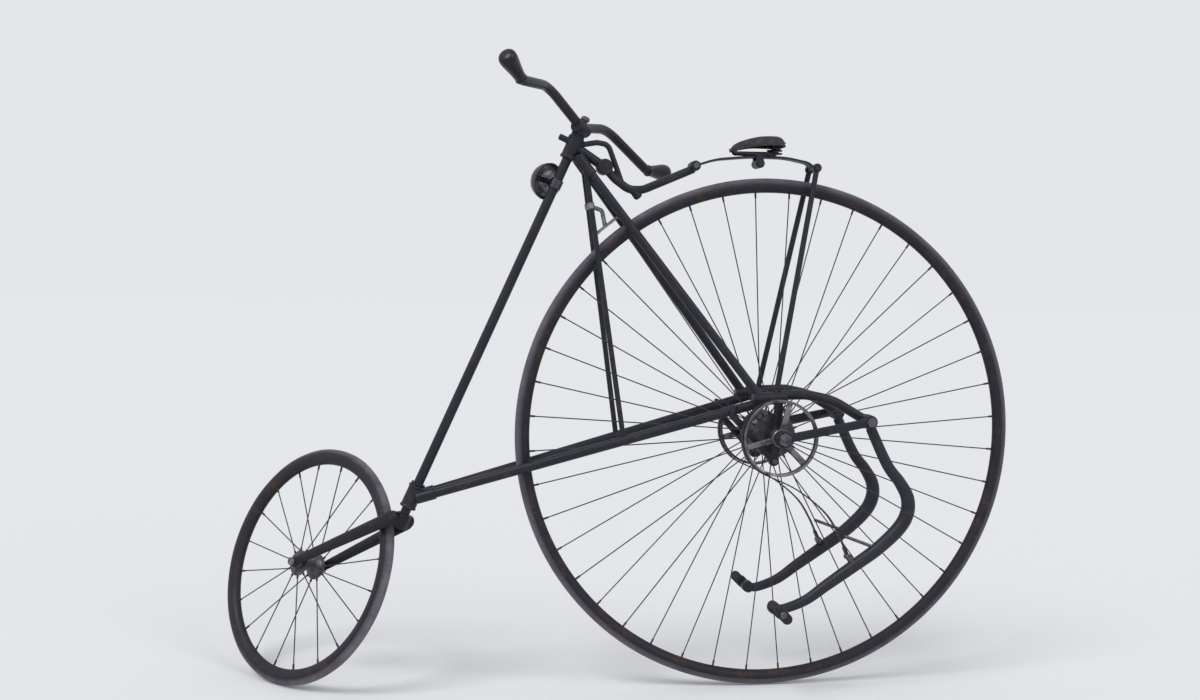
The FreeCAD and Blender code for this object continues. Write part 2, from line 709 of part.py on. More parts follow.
def side_pieces(side, word):
    """Builds what stands on one side of the big wheel."""
    hand = word.lower()
    jy = side * junction_y
    rise = size("junction_rise")

    # Junction barrel, bearing boss and the two struts that hang the axle
    barrel = many_sided("Junction" + word, by_axle(64, jy, rise), by_axle(-24, jy, rise + 4),
                        "Sizes.junction_radius")
    boss = disc("Bearing" + word, rear_centre + V(0, jy + side * 5, 0), left_way,
                "Sizes.bearing_radius", "Sizes.bracket_thick + Sizes.bearing_extra")
    plane = side * (junction_y + 5)
    toe_spot = by_axle(8, plane, -60)
    rear_strut = flat("RearStrut" + word, by_axle(-2, plane, rise + 2), toe_spot, "Sizes.bracket_width",
                      "Sizes.bracket_thick")
    front_strut = flat("FrontStrut" + word, toe_spot, by_axle(120, plane, rise - 36),
                       "Sizes.bracket_width - 4", "Sizes.bracket_thick")
    toe = disc("BracketToe" + word, toe_spot, left_way, "Sizes.bracket_width / 2 + 2",
               "Sizes.bracket_thick", 12)
    lower = rod("LowerBar" + word, lower_ends[side][0], lower_ends[side][1], "Sizes.lower_tube_radius")
    lower_tube = cut("LowerTube" + word, lower, lower_sleeve, lower_head, barrel)
    bracket_body = fuse("BracketBody" + word, barrel, boss, rear_strut, front_strut, toe)
    bracket = cut("Bracket" + word, bracket_body, axle_bore, lower_tube)
    upper = rod("UpperBar" + word, upper_ends[side][0], upper_ends[side][1], "Sizes.upper_tube_radius")
    upper_tube = cut("UpperTube" + word, upper, upper_sleeve, upper_head, bracket)
    strut = many_sided("StrutBar" + word, strut_ends[side][0], strut_ends[side][1], "Sizes.strut_radius")
    thin_strut = cut("Strut" + word, strut, upper_head, lower_tube, upper_tube)
    node(lower_tube, hand + "_lower_tube")
    node(bracket, hand + "_axle_bracket")
    node(upper_tube, hand + "_upper_tube")
    node(thin_strut, hand + "_front_strut")

    # Lever carrier: an arched arm, the lever's pin and a flat link back to the axle's end
    arch_end = pivot + V(0, side * 100, 2)
    arch = bent_rod("Arch" + word, [by_axle(-6, jy, rise + 10), by_axle(-72, side * 92, rise + 22),
                                    by_axle(-140, side * 97, rise + 2), arch_end],
                    [110, 160], "Sizes.carrier_radius")
    inner_eye = disc("CarrierEye" + word, pivot + V(0, side * 102, 0), left_way,
                     "Sizes.carrier_eye_radius", "18", 12)
    pin = rod("LeverPin" + word, pivot + V(0, side * 94, 0), pivot + V(0, side * 156, 0),
              "Sizes.lever_pin_radius")
    link_mid = side * (size("link_y") + size("link_thick") / 2)
    link = flat("Link" + word, rear_centre + V(0, link_mid, 0), pivot + V(0, link_mid, 0),
                "Sizes.link_width", "Sizes.link_thick")
    link_front = disc("LinkFront" + word, rear_centre + V(0, link_mid, 0), left_way,
                      "Sizes.link_front_radius", "Sizes.link_thick + 6")
    link_back = disc("LinkBack" + word, pivot + V(0, link_mid, 0), left_way,
                     "Sizes.carrier_eye_radius", "Sizes.link_thick + 4", 12)
    carrier_body = fuse("CarrierBody" + word, arch, inner_eye, pin, link, link_front, link_back)
    carrier = node(cut("Carrier" + word, carrier_body, axle_bore, bracket), hand + "_lever_carrier")

    # Drum: an open ring on three flat arms
    mid_y = side * (size("drum_inner_y") + size("drum_width") / 2)
    centre = rear_centre + V(0, mid_y, 0)
    band_out = disc("DrumOut" + word, centre, left_way, "Sizes.drum_radius", "Sizes.drum_width", 32)
    band_in = disc("DrumIn" + word, centre, left_way, "Sizes.drum_radius - Sizes.drum_wall",
                   "Sizes.drum_width + 10", 32)
    band = cut("DrumBand" + word, band_out, band_in)
    collar = disc("DrumCollar" + word, centre, left_way, "Sizes.drum_collar", "Sizes.drum_width + 4")
    arms = []
    for number, angle in enumerate(DRUM_ARMS):
        around = math.radians(angle)
        reach = size("drum_radius") - size("drum_wall") / 2 - 1
        arm_end = centre + V(-math.cos(around), 0, math.sin(around)) * reach
        arms.append(flat("DrumArm%s%d" % (word, number), centre, arm_end, "Sizes.drum_arm_width",
                         "Sizes.drum_arm_thick"))
    drum_body = fuse("DrumBody" + word, band, collar, *arms)
    node(cut("Drum" + word, drum_body, axle_bore), hand + "_drum")

    # Lever: a forged bar, thickest at its bend, with the pedal's pin at its end
    lever_y = side * size("lever_y")
    rings = []
    for number, (back, down, radius) in enumerate(LEVER_LINE):
        before = LEVER_LINE[max(number - 1, 0)]
        after = LEVER_LINE[min(number + 1, len(LEVER_LINE) - 1)]
        run = V(before[0] - after[0], 0, before[1] - after[1])
        rings.append(oval(pivot + V(-back, lever_y, -down), run, left_way, radius, radius, 8))
    bar = flat_faced("LeverBar" + word, rings)
    eye = disc("LeverEye" + word, pivot + V(0, lever_y, 0), left_way, "Sizes.lever_eye_radius",
               "Sizes.lever_eye_width")
    toe_eye = disc("LeverToe" + word, pedal_spot + V(0, lever_y, 0), left_way, "Sizes.lever_toe_radius",
                   "Sizes.lever_toe_width", 12)
    pedal_end = size("pedal_inner_y") + size("pedal_length")
    pedal_pin = rod("PedalPin" + word, pedal_spot + V(0, lever_y, 0),
                    pedal_spot + V(0, side * (pedal_end + 2), 0), "Sizes.pedal_pin_radius")
    pin_cap = many_sided("PedalCap" + word, pedal_spot + V(0, side * (pedal_end + 0.5), 0),
                         pedal_spot + V(0, side * (pedal_end + 6), 0), "Sizes.pedal_pin_radius + 3", 6)
    guide = many_sided("StrapGuide" + word, pivot + V(-30, lever_y, -318),
                       pivot + V(52, lever_y - side * 4, -288), "4", 8)
    hook = pivot + V(STRAP_HOOK[0], 0, STRAP_HOOK[1])
    clip = many_sided("StrapClip" + word, hook + V(0, side * 106, 0), hook + V(0, side * 128, 0), "8", 8)
    clip_foot = many_sided("StrapFoot" + word, hook + V(0, lever_y, 0), hook + V(-11, lever_y, -17), "8", 8)
    lever_body = fuse("LeverBody" + word, bar, eye, toe_eye, pedal_pin, pin_cap, guide, clip, clip_foot)
    pin_bore = rod("PinBore" + word, pivot - left_way * 200, pivot + left_way * 200,
                   "Sizes.lever_pin_radius + Sizes.running_gap")
    node(cut("Lever" + word, lever_body, pin_bore), hand + "_lever")

    # Pedal: two end plates on a tube, with a rubber block above and one below
    tilt = Rotation(V(0, 1, 0), -size("pedal_tilt"))
    inner = size("pedal_inner_y")
    thick = size("pedal_plate_thick")
    length = size("pedal_length")
    tube = many_sided("PedalTube" + word, pedal_spot + V(0, side * inner, 0),
                      pedal_spot + V(0, side * (inner + length), 0), "Sizes.pedal_tube_radius")
    frame_parts = [tube]
    for number, start in enumerate((inner, inner + length - thick)):
        corners = []
        for way in (1, -1):
            for degrees in (-90, -45, 0, 45, 90):
                around = math.radians(degrees)
                out = size("pedal_plate_half") + size("pedal_plate_end") * math.cos(around)
                corners.append(V(way * out, side * start, way * size("pedal_plate_end") * math.sin(around)))
        plate = Part.Face(Part.makePolygon(corners + corners[:1])).extrude(V(0, side * thick, 0))
        frame_parts.append(solid_of("PedalPlate%s%d" % (word, number), plate, Placement(pedal_spot, tilt)))
    pedal_body = fuse("PedalBody" + word, *frame_parts)
    pedal_bore = rod("PedalBore" + word, pedal_spot - left_way * 240, pedal_spot + left_way * 240,
                     "Sizes.pedal_pin_radius + Sizes.running_gap")
    node(cut("Pedal" + word, pedal_body, pedal_bore), hand + "_pedal_frame")
    blocks = []
    for number, way in enumerate((1, -1)):
        block = doc.addObject("Part::Box", "Rubber%s%d" % (word, number))
        block.setExpression("Length", "Sizes.rubber_section")
        block.setExpression("Height", "Sizes.rubber_section")
        block.setExpression("Width", "Sizes.pedal_length - 2 * Sizes.pedal_plate_thick")
        doc.recompute()
        corner = V(block.Length.Value / -2, block.Width.Value / -2, block.Height.Value / -2)
        middle = pedal_spot + tilt.multVec(V(size("rubber_off") * way, 0, 0))
        middle += V(0, side * (inner + length / 2), 0)
        block.Placement = Placement(middle + tilt.multVec(corner), tilt)
        blocks.append(block)
    pair = doc.addObject("Part::Compound", "RubberPair" + word)
    pair.Links = blocks
    node(pair, hand + "_pedal_rubbers")

    # Strap: laid on the drum from above, then down to its clip on the lever
    first_angle, leave, steps = 60.0, -65.0, 8
    step = math.radians((first_angle - leave) / steps)
    lay = (size("drum_radius") + size("strap_gap") + size("strap_thick") / 2) / math.cos(step / 2)
    strap_mid = V(0, side * (size("drum_inner_y") + size("drum_width") / 2), 0)
    run = []
    for k in range(steps + 1):
        around = math.radians(first_angle) - step * k
        run.append(rear_centre + strap_mid + V(lay * math.cos(around), 0, lay * math.sin(around)))
    way = V(math.sin(math.radians(leave)), 0, -math.cos(math.radians(leave)))
    run.append(run[-1] + way * 96)
    hook_spot = hook + strap_mid
    run += [hook_spot + V(fore, 0, up) for fore, up in STRAP_KNEES]
    toward = (hook_spot - run[-1]).normalize()
    run.append(hook_spot - toward * 8.5)
    outward = V(math.cos(math.radians(first_angle)), 0, math.sin(math.radians(first_angle)))
    strap = bent_strip("Strap" + word, run, [0] * (len(run) - 2), outward, size("strap_width"),
                       size("strap_thick"))
    node(strap, hand + "_strap")
    return bracket, carrier, upper_tube


left_set = side_pieces(1, "Left")
right_set = side_pieces(-1, "Right")

# Spring bracket: a bent neck and a thick bar from the head, and the clip that holds the seat spring
neck = bent_rod("Neck", [on_line(upper_sleeve_bottom + 46, 16), by_seat(452, 0, 29), by_seat(424, 0, 33),
                         by_seat(401, 0, 92), by_seat(384, 0, 138)], [20, 22, 60], "Sizes.neck_radius", 8)
seat_bar = bent_rod("SeatBar", [head_boss, by_seat(405, 0, 118), by_seat(370, 0, 143), by_seat(335, 0, 143),
                                by_seat(206, 0, 87)], [60, 40, 60], "Sizes.seat_bar_radius")
bar_knob = many_sided("BarKnob", by_seat(362, 0, 139), by_seat(343, 0, 164), "11", 8)
clip_box = many_sided("SpringClip", by_seat(204, -22, 80), by_seat(204, 22, 80), "13")
bracket_body = fuse("SpringBracketBody", neck, seat_bar, bar_knob, clip_box)
spring_bracket = node(cut("SpringBracket", bracket_body, upper_head), "spring_bracket")

# Seat spring: a flat leaf from the clip, under the saddle, to the cross bar at its tail
yoke_x = -size("yoke_back")
yoke = many_sided("Yoke", by_seat(yoke_x, -size("yoke_half"), 78), by_seat(yoke_x, size("yoke_half"), 78),
                  "Sizes.yoke_radius")
leaf_points = [by_seat(212, 0, 82), by_seat(150, 0, 62), by_seat(60, 0, 53), by_seat(-30, 0, 53),
               by_seat(yoke_x + 18, 0, 64), by_seat(yoke_x, 0, 78)]
leaf_run = leaf_points[1] - leaf_points[0]
leaf = bent_strip("Leaf", leaf_points, [200, 400, 250, 30], V(-leaf_run.z, 0, leaf_run.x),
                  size("spring_width"), size("spring_thick"))
seat_spring = node(cut("SeatSpring", leaf, spring_bracket, yoke), "seat_spring")

# Seat stays: thin tubes from the cross bar down to the junctions
for side, word, pieces in ((1, "Left", left_set), (-1, "Right", right_set)):
    stay = many_sided("StayBar" + word, by_seat(yoke_x, side * 30, 78),
                      by_axle(4, side * junction_y, size("junction_rise") + 10), "Sizes.stay_radius")
    node(cut("Stay" + word, stay, yoke, *pieces), word.lower() + "_seat_stay")
node(yoke, "spring_yoke")

# Saddle: a clamp and wire rails under a small leather top
CLAMP_X, CLAMP_LONG, CLAMP_WIDE, CLAMP_HIGH, CLAMP_DROP = 39.0, 28.0, 44.0, 38.0, 43.0
clamp = doc.addObject("Part::Box", "SaddleClamp")
clamp.Length = CLAMP_LONG
clamp.Width = CLAMP_WIDE
clamp.Height = CLAMP_HIGH
clamp_corner = by_seat(CLAMP_X - CLAMP_LONG / 2, -CLAMP_WIDE / 2, CLAMP_DROP + CLAMP_HIGH)
clamp.Placement = Placement(clamp_corner, Rotation())
rails = []
for side, word in ((1, "Left"), (-1, "Right")):
    rails.append(bent_rod("Rail" + word, [by_seat(104, side * 8, 32), by_seat(101, side * 11, 45),
                                          by_seat(0, side * 24, 45), by_seat(-12, side * 30, 22)],
                          [8, 14], "Sizes.rail_radius", 8))
saddle_body = fuse("SaddleBody", clamp, *rails)
saddle_frame = cut("SaddleFrame", saddle_body, seat_spring)

# Stations of the leather from nose to back: forward, half width, top and edge below the seat's top
SADDLE_STATIONS = [
    (110, 7, 32, 42), (104, 11, 24, 40), (88, 15, 15, 36), (64, 22, 7, 31), (40, 36, 1.5, 28),
    (16, 48, 0, 27), (-4, 50, 0.5, 27), (-16, 44, 6, 28),
]
rings = []
for forward, half, top, edge in SADDLE_STATIONS:
    middle_drop = (edge + top) / 2 + 3
    profile = [(-1.0, edge), (-0.86, top + (edge - top) * 0.45), (-0.5, top + 1.5), (0.0, top),
               (0.5, top + 1.5), (0.86, top + (edge - top) * 0.45), (1.0, edge), (0.45, middle_drop),
               (-0.45, middle_drop)]
    rings.append([by_seat(forward, half * share, below) for share, below in profile])
node(cut("Saddle", flat_faced("SaddleForm", rings), saddle_frame), "saddle_leather")
node(saddle_frame, "saddle_frame")

# Spoon brake: a bent arm on a cross bar between the struts, with a curved plate over the tyre
strut_run = {side: (strut_ends[side][1] - strut_ends[side][0]).normalize() for side in (1, -1)}
cross_ends = [strut_ends[side][0] + strut_run[side] * 98 for side in (1, -1)]
cross = many_sided("BrakeCross", cross_ends[0], cross_ends[1], "Sizes.brake_arm_radius", 8)
cross_spot = (cross_ends[0] + cross_ends[1]) * 0.5
spoon_radius = size("rear_radius") + size("spoon_lift")
spoon_turn = math.degrees(size("spoon_length") / spoon_radius)
spoon_line = []
for share in (-0.5, -0.17, 0.17, 0.5):
    around = math.radians(size("spoon_angle") + spoon_turn * share)
    spoon_line.append(rear_centre + V(math.cos(around), 0, math.sin(around)) * spoon_radius)
spoon_run = spoon_line[1] - spoon_line[0]
spoon_plate = bent_strip("SpoonPlate", spoon_line, [0, 0], V(spoon_run.z, 0, -spoon_run.x),
                         size("spoon_width"), size("spoon_thick"))
arm_end = (spoon_line[1] + spoon_line[2]) * 0.5
arm = bent_rod("BrakeArm", [cross_spot, arm_end + V(8, 0, 38), arm_end], [10], "Sizes.brake_arm_radius", 8)
brake_body = fuse("BrakeBody", arm, cross, spoon_plate)
struts = [piece for piece in NODES if piece.Label.endswith("front_strut")]
node(cut("Brake", brake_body, *struts), "brake_spoon")

doc.recompute()

# Checks, then one file for each sub-part
for obj in doc.Objects:
    if "Invalid" in obj.State or "Error" in obj.State:
        raise RuntimeError("object failed: %s" % obj.Label)
for obj in NODES:
    if obj.Shape.isNull() or not obj.Shape.isValid():
        raise RuntimeError("bad shape: %s" % obj.Label)

os.makedirs("parts", exist_ok=True)
for obj in NODES:
    obj.Shape.exportStep("parts/%s.step" % obj.Label)
    print(obj.Label, len(obj.Shape.Solids), round(obj.Shape.Volume / 1000, 1))
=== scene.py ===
import json
import math

import bpy
import numpy as np
from mathutils import Matrix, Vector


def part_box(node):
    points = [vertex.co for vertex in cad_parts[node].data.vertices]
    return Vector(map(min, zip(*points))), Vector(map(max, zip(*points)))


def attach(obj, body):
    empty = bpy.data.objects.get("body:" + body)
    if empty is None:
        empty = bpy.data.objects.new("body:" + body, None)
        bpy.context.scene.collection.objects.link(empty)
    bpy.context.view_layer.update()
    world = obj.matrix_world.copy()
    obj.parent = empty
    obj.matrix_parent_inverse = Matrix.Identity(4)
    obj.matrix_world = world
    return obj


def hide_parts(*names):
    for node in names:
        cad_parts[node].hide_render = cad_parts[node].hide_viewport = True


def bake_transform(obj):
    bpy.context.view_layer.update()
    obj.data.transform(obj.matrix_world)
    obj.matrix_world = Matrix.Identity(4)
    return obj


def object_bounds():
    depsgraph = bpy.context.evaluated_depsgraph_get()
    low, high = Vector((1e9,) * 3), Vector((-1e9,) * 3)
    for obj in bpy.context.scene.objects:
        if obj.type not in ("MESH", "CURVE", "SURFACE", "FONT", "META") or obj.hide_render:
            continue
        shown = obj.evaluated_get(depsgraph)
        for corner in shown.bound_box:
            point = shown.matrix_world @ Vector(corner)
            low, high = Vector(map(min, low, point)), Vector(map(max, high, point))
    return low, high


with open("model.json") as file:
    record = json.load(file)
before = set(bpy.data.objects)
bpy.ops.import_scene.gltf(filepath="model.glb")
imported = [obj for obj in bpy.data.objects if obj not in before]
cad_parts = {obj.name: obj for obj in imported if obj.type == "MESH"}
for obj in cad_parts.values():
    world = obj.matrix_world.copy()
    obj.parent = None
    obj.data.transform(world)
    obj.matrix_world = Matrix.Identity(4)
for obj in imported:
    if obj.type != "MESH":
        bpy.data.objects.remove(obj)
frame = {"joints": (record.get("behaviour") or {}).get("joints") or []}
cad_box = [list(corner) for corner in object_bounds()]
joints = {joint["name"]: joint for joint in frame["joints"]}


# The big wheel's tyre: a hoop of solid grey rubber of round section, pressed and cemented into
# the rim's channel. Its tread is scuffed pale with dust and its sides have darkened with age.

def joint_line(name):
    """The place and the direction of one of the record's joints."""
    return np.array(joints[name]["pos_m"]), np.array(joints[name]["axis"], float)


def round_steps(count):
    """Angles at equal steps, once round."""
    return np.linspace(0, 2 * np.pi, count, endpoint=False)


def turn_round(profile, centre, axis, count, start=(0, 0, 1), hoop=False):
    """A lathe form: each (radius, height) of the profile is swung about the axis, so a point is
    centre + radius * (cos u * first + sin u * second) + height * axis."""
    axis = np.asarray(axis, float) / np.linalg.norm(axis)
    first = np.asarray(start, float) - np.dot(start, axis) * axis
    first /= np.linalg.norm(first)
    second = np.cross(axis, first)
    angle = round_steps(count)[None, :, None]
    profile = np.asarray(profile, float)
    swung = profile[:, 0, None, None] * (np.cos(angle) * first + np.sin(angle) * second)
    return np.asarray(centre, float) + swung + profile[:, 1, None, None] * axis, hoop


def in_scene(name, data):
    """A new object of the scene, at the origin, that holds the data."""
    thing = bpy.data.objects.new(name, data)
    bpy.context.scene.collection.objects.link(thing)
    return thing


def mesh_piece(name, grids, material, node=None, body="frame", sharp=40):
    """One piece from (points[row, column], hoop) grids. Columns always join round. A hoop's rows
    join too, and any other grid is closed by a fan of triangles over its first and last row. The
    piece rides the body and replaces the CAD model's node, where one is given."""
    vertices, polygons, base = [], [], 0
    for points, hoop in grids:
        rows, columns = points.shape[:2]
        flat = points.reshape(-1, 3)
        index = np.arange(rows * columns).reshape(rows, columns)
        beside = np.roll(index, -1, axis=1)
        if hoop:
            below, across = np.roll(index, -1, axis=0), np.roll(beside, -1, axis=0)
            groups = [np.stack([index, beside, across, below], -1).reshape(-1, 4)]
        else:
            walls = np.stack([index[:-1], beside[:-1], beside[1:], index[1:]], -1).reshape(-1, 4)
            flat = np.vstack([flat, points[0].mean(0), points[-1].mean(0)])
            first = np.full(columns, rows * columns)
            front = np.stack([first, beside[0], index[0]], -1)
            back = np.stack([first + 1, index[-1], beside[-1]], -1)
            groups = [walls, np.vstack([front, back])]
        volume = 0.0
        for faces in groups:
            for k in range(1, faces.shape[1] - 1):
                one, two, three = (flat[faces[:, j]] - flat[0] for j in (0, k, k + 1))
                volume += np.einsum("ij,ij->", one, np.cross(two, three))
        for faces in groups:
            turned = faces if volume > 0 else faces[:, ::-1]
            polygons += (turned + base).tolist()
        vertices.append(flat)
        base += len(flat)
    mesh = bpy.data.meshes.new(name)
    mesh.from_pydata(np.concatenate(vertices).tolist(), [], polygons)
    mesh.polygons.foreach_set("use_smooth", [True] * len(mesh.polygons))
    mesh.set_sharp_from_angle(angle=math.radians(sharp))
    mesh.materials.append(material)
    piece = in_scene(name, mesh)
    if body:
        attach(piece, body)
    if node:
        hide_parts(node)
    return piece


def linear(colour):
    """The linear red, green, blue and alpha of an sRGB hex colour."""
    values = np.array([int(colour[k:k + 2], 16) for k in (1, 3, 5)]) / 255
    values = np.where(values <= 0.04045, values / 12.92, ((values + 0.055) / 1.055) ** 2.4)
    return (*values.tolist(), 1.0)


def add(material, kind, values, out=0):
    """Adds a node. Each value sets a property or a socket of it, or is another node's output that
    is linked to that socket. It gives back one output, or the node itself if it has none."""
    node = material.node_tree.nodes.new("ShaderNode" + kind)
    for name, value in values.items():
        if isinstance(name, str) and name not in node.inputs:
            setattr(node, name, value)
    for name, value in values.items():
        if isinstance(value, bpy.types.NodeSocket):
            material.node_tree.links.new(value, node.inputs[name])
        elif not isinstance(name, str) or name in node.inputs:
            node.inputs[name].default_value = value
    return node.outputs[out] if len(node.outputs) else node


def new_material(name):
    """A node material without a shader, and the output that gives it the object's coordinates."""
    material = bpy.data.materials.new(name)
    material.use_nodes = True
    material.node_tree.nodes.clear()
    return material, add(material, "TexCoord", {}, "Object")


def aged_rubber(name, centre, radius, dark, pale, scuffed):
    """Solid vulcanised rubber, moulded and aged: dull, near-black grey, paler where the tread has
    been scuffed and dusted, with crazing in cells of about 6 mm and grit in the surface."""
    rubber, place = new_material(name)
    from_hub = add(rubber, "VectorMath", {"operation": "SUBTRACT", 0: place, 1: tuple(centre)})
    out = add(rubber, "VectorMath", {"operation": "LENGTH", 0: from_hub}, "Value")
    cloud = add(rubber, "TexNoise", {"Vector": place, "Scale": 1 / 0.05, "Detail": 7.0, "Roughness": 0.64})
    grit = add(rubber, "TexNoise", {"Vector": place, "Scale": 1 / 0.0035, "Detail": 4.0, "Roughness": 0.7})
    craze = add(rubber, "TexVoronoi", {"feature": "DISTANCE_TO_EDGE", "Vector": place, "Scale": 1 / 0.006})
    cracks = add(rubber, "MapRange", {"Value": craze, "From Max": 0.05, "To Min": 1.0, "To Max": 0.0})
    tread = add(rubber, "MapRange", {"Value": out, "From Min": radius - 0.016, "From Max": radius - 0.001})
    worn = add(rubber, "Math", {"operation": "MULTIPLY", 0: tread, 1: cloud})
    dust = add(rubber, "MapRange", {"Value": worn, "From Min": 0.08, "From Max": 0.62})
    body = add(rubber, "Mix", {"data_type": "RGBA", 0: cloud, 6: linear(dark), 7: linear(pale)}, 2)
    dusty = add(rubber, "Mix", {"data_type": "RGBA", 0: dust, 6: body, 7: linear(scuffed)}, 2)
    cracked = add(rubber, "Math", {"operation": "MULTIPLY", 0: cracks, 1: 0.45})
    colour = add(rubber, "Mix", {"data_type": "RGBA", 0: cracked, 6: dusty, 7: linear("#232129")}, 2)
    rough = add(rubber, "MapRange", {"Value": grit, "To Min": 0.62, "To Max": 0.9})
    relief = add(rubber, "Math", {"operation": "SUBTRACT", 0: grit, 1: cracked})
    bump = add(rubber, "Bump", {"Height": relief, "Strength": 0.4, "Distance": 0.0008})
    shader = add(rubber, "BsdfPrincipled", {"Base Color": colour, "Roughness": rough, "Normal": bump,
                                            "Specular IOR Level": 0.35})
    add(rubber, "OutputMaterial", {"Surface": shader})
    return rubber


def hoop_section(radius, flat):
    """A circle whose outer side is worn by flat times the fourth power of its outward cosine."""
    angle = round_steps(28)
    reach = radius * (1 - flat * np.clip(np.cos(angle), 0, 1) ** 4)
    return np.stack([reach * np.cos(angle), radius * np.sin(angle)], -1)


def solid_tyre(end, count, tones):
    """The tyre's section swung round the wheel's axle, with a slow wobble of a quarter millimetre
    in its reach, as a cemented tyre has."""
    centre, axis = joint_line(end + "_wheel_spin")
    radius = tyre_radius[end]
    profile = hoop_section(tyre_half, 0.04) + [radius - tyre_half, 0]
    points, hoop = turn_round(profile, centre, axis, count, hoop=True)
    around = round_steps(count)
    wobble = 0.00025 * np.sin(5 * around + 1) + 0.0002 * np.sin(13 * around)
    outgoing = points - centre
    outgoing /= np.linalg.norm(outgoing, axis=-1, keepdims=True)
    points = points + outgoing * (wobble[None, :, None] - CEMENT)
    name = end + "_tyre_skin"
    material = aged_rubber(name + "_rubber", centre, radius, *tones)
    mesh_piece(name, [(points, hoop)], material, end + "_tyre", end + "_wheel")


CEMENT = 0.0003
low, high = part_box("rear_tyre")
tyre_half = (high.y - low.y) / 2
tyre_radius = {"rear": (high.z - low.z) / 2, "front": 0.3048}
solid_tyre("rear", 420, ("#34313b", "#4a4651", "#6f6a74"))


# Rims: rolled crescents of sheet iron that hold the tyres. They are brushed with black japan, a
# hard stoved varnish, which age has dulled and rust has broken through in specks.

def japanned_iron(name, base, faded, rust, shine):
    """Iron under stoved black varnish: a hard low gloss over a slightly uneven brushed coat,
    faded in patches of about 60 mm and broken by rust specks of about 4 mm."""
    paint, place = new_material(name)
    patch = add(paint, "TexNoise", {"Vector": place, "Scale": 1 / 0.06, "Detail": 5.0})
    fleck = add(paint, "TexNoise", {"Vector": place, "Scale": 1 / 0.004, "Detail": 8.0, "Roughness": 0.72})
    zone = add(paint, "TexNoise", {"Vector": place, "Scale": 1 / 0.028, "Detail": 3.0})
    both = add(paint, "Math", {"operation": "MULTIPLY", 0: fleck, 1: zone})
    rusty = add(paint, "MapRange", {"Value": both, "From Min": 0.34 - 0.06 * rust, "From Max": 0.40})
    brushed = add(paint, "TexNoise", {"Vector": place, "Scale": 1 / 0.0016, "Detail": 2.0})
    coat = add(paint, "Mix", {"data_type": "RGBA", 0: patch, 6: linear(base), 7: linear(faded)}, 2)
    colour = add(paint, "Mix", {"data_type": "RGBA", 0: rusty, 6: coat, 7: linear("#4b3226")}, 2)
    dull = add(paint, "MapRange", {"Value": patch, "From Min": 0.3, "From Max": 0.7, "To Min": shine,
                                   "To Max": shine + 0.2})
    rough = add(paint, "Mix", {"data_type": "FLOAT", 0: rusty, 2: dull, 3: 0.85})
    lumps = add(paint, "Math", {"operation": "MULTIPLY_ADD", 0: rusty, 1: 0.6, 2: brushed})
    bump = add(paint, "Bump", {"Height": lumps, "Strength": 0.25, "Distance": 0.0006})
    shader = add(paint, "BsdfPrincipled", {"Base Color": colour, "Roughness": rough, "Normal": bump,
                                           "Specular IOR Level": 0.25, "Coat Weight": 0.06,
                                           "Coat Roughness": 0.25})
    add(paint, "OutputMaterial", {"Surface": shader})
    return paint


black_japan = japanned_iron("black_japan_on_iron", "#14161f", "#232733", 0.6, 0.34)
rim_japan = japanned_iron("worn_japan_on_rims", "#15151d", "#25252f", 1.0, 0.45)
RIM_HALF = 0.0145
RIM_LIP = 0.0185
RIM_EDGE = 0.0016
rim_reach = {"rear": 0.037, "front": 0.041}


def rim_section(radius, reach):
    """A crescent: its back is half an ellipse from lip to lip, as wide as the rim and as deep as
    its reach below the lips, and its channel is an arc just larger than the tyre."""
    middle, channel = radius - tyre_half, tyre_half + CEMENT
    lip_turn = math.pi - math.asin((RIM_HALF - RIM_EDGE) / channel)
    inside = np.linspace(lip_turn, 2 * np.pi - lip_turn, 19)
    arc = np.stack([middle + channel * np.cos(inside), channel * np.sin(inside)], -1)
    share = np.linspace(-np.pi / 2, np.pi / 2, 25)
    back = np.stack([radius - RIM_LIP - (reach - RIM_LIP) * np.cos(share), RIM_HALF * np.sin(share)], -1)
    return np.vstack([back, arc])


def crescent_rim(end, count):
    """The crescent section swung round the axle."""
    profile = rim_section(tyre_radius[end], rim_reach[end])
    grid = turn_round(profile, *joint_line(end + "_wheel_spin"), count, hoop=True)
    mesh_piece(end + "_rim_skin", [grid], rim_japan, end + "_rim", end + "_wheel", 55)


crescent_rim("rear", 420)


# Spokes: straight iron wires that screw into the hub's flanges, each held in the rim by a headed
# nipple. They lean from the two flanges in turn to the middle of the rim.

def rod(start, end, radius, count=10, ease=0.25):
    """A round rod from start to end whose two ends are eased by a share of its radius."""
    start, end = np.asarray(start, float), np.asarray(end, float)
    run = end - start
    length = np.linalg.norm(run)
    trim = ease * radius
    profile = [(radius - trim, 0), (radius, trim), (radius, length - trim), (radius - trim, length)]
    near = (0, 0, 1) if abs(run[2]) < 0.8 * length else (1, 0, 0)
    return turn_round(profile, start, run, count, near)


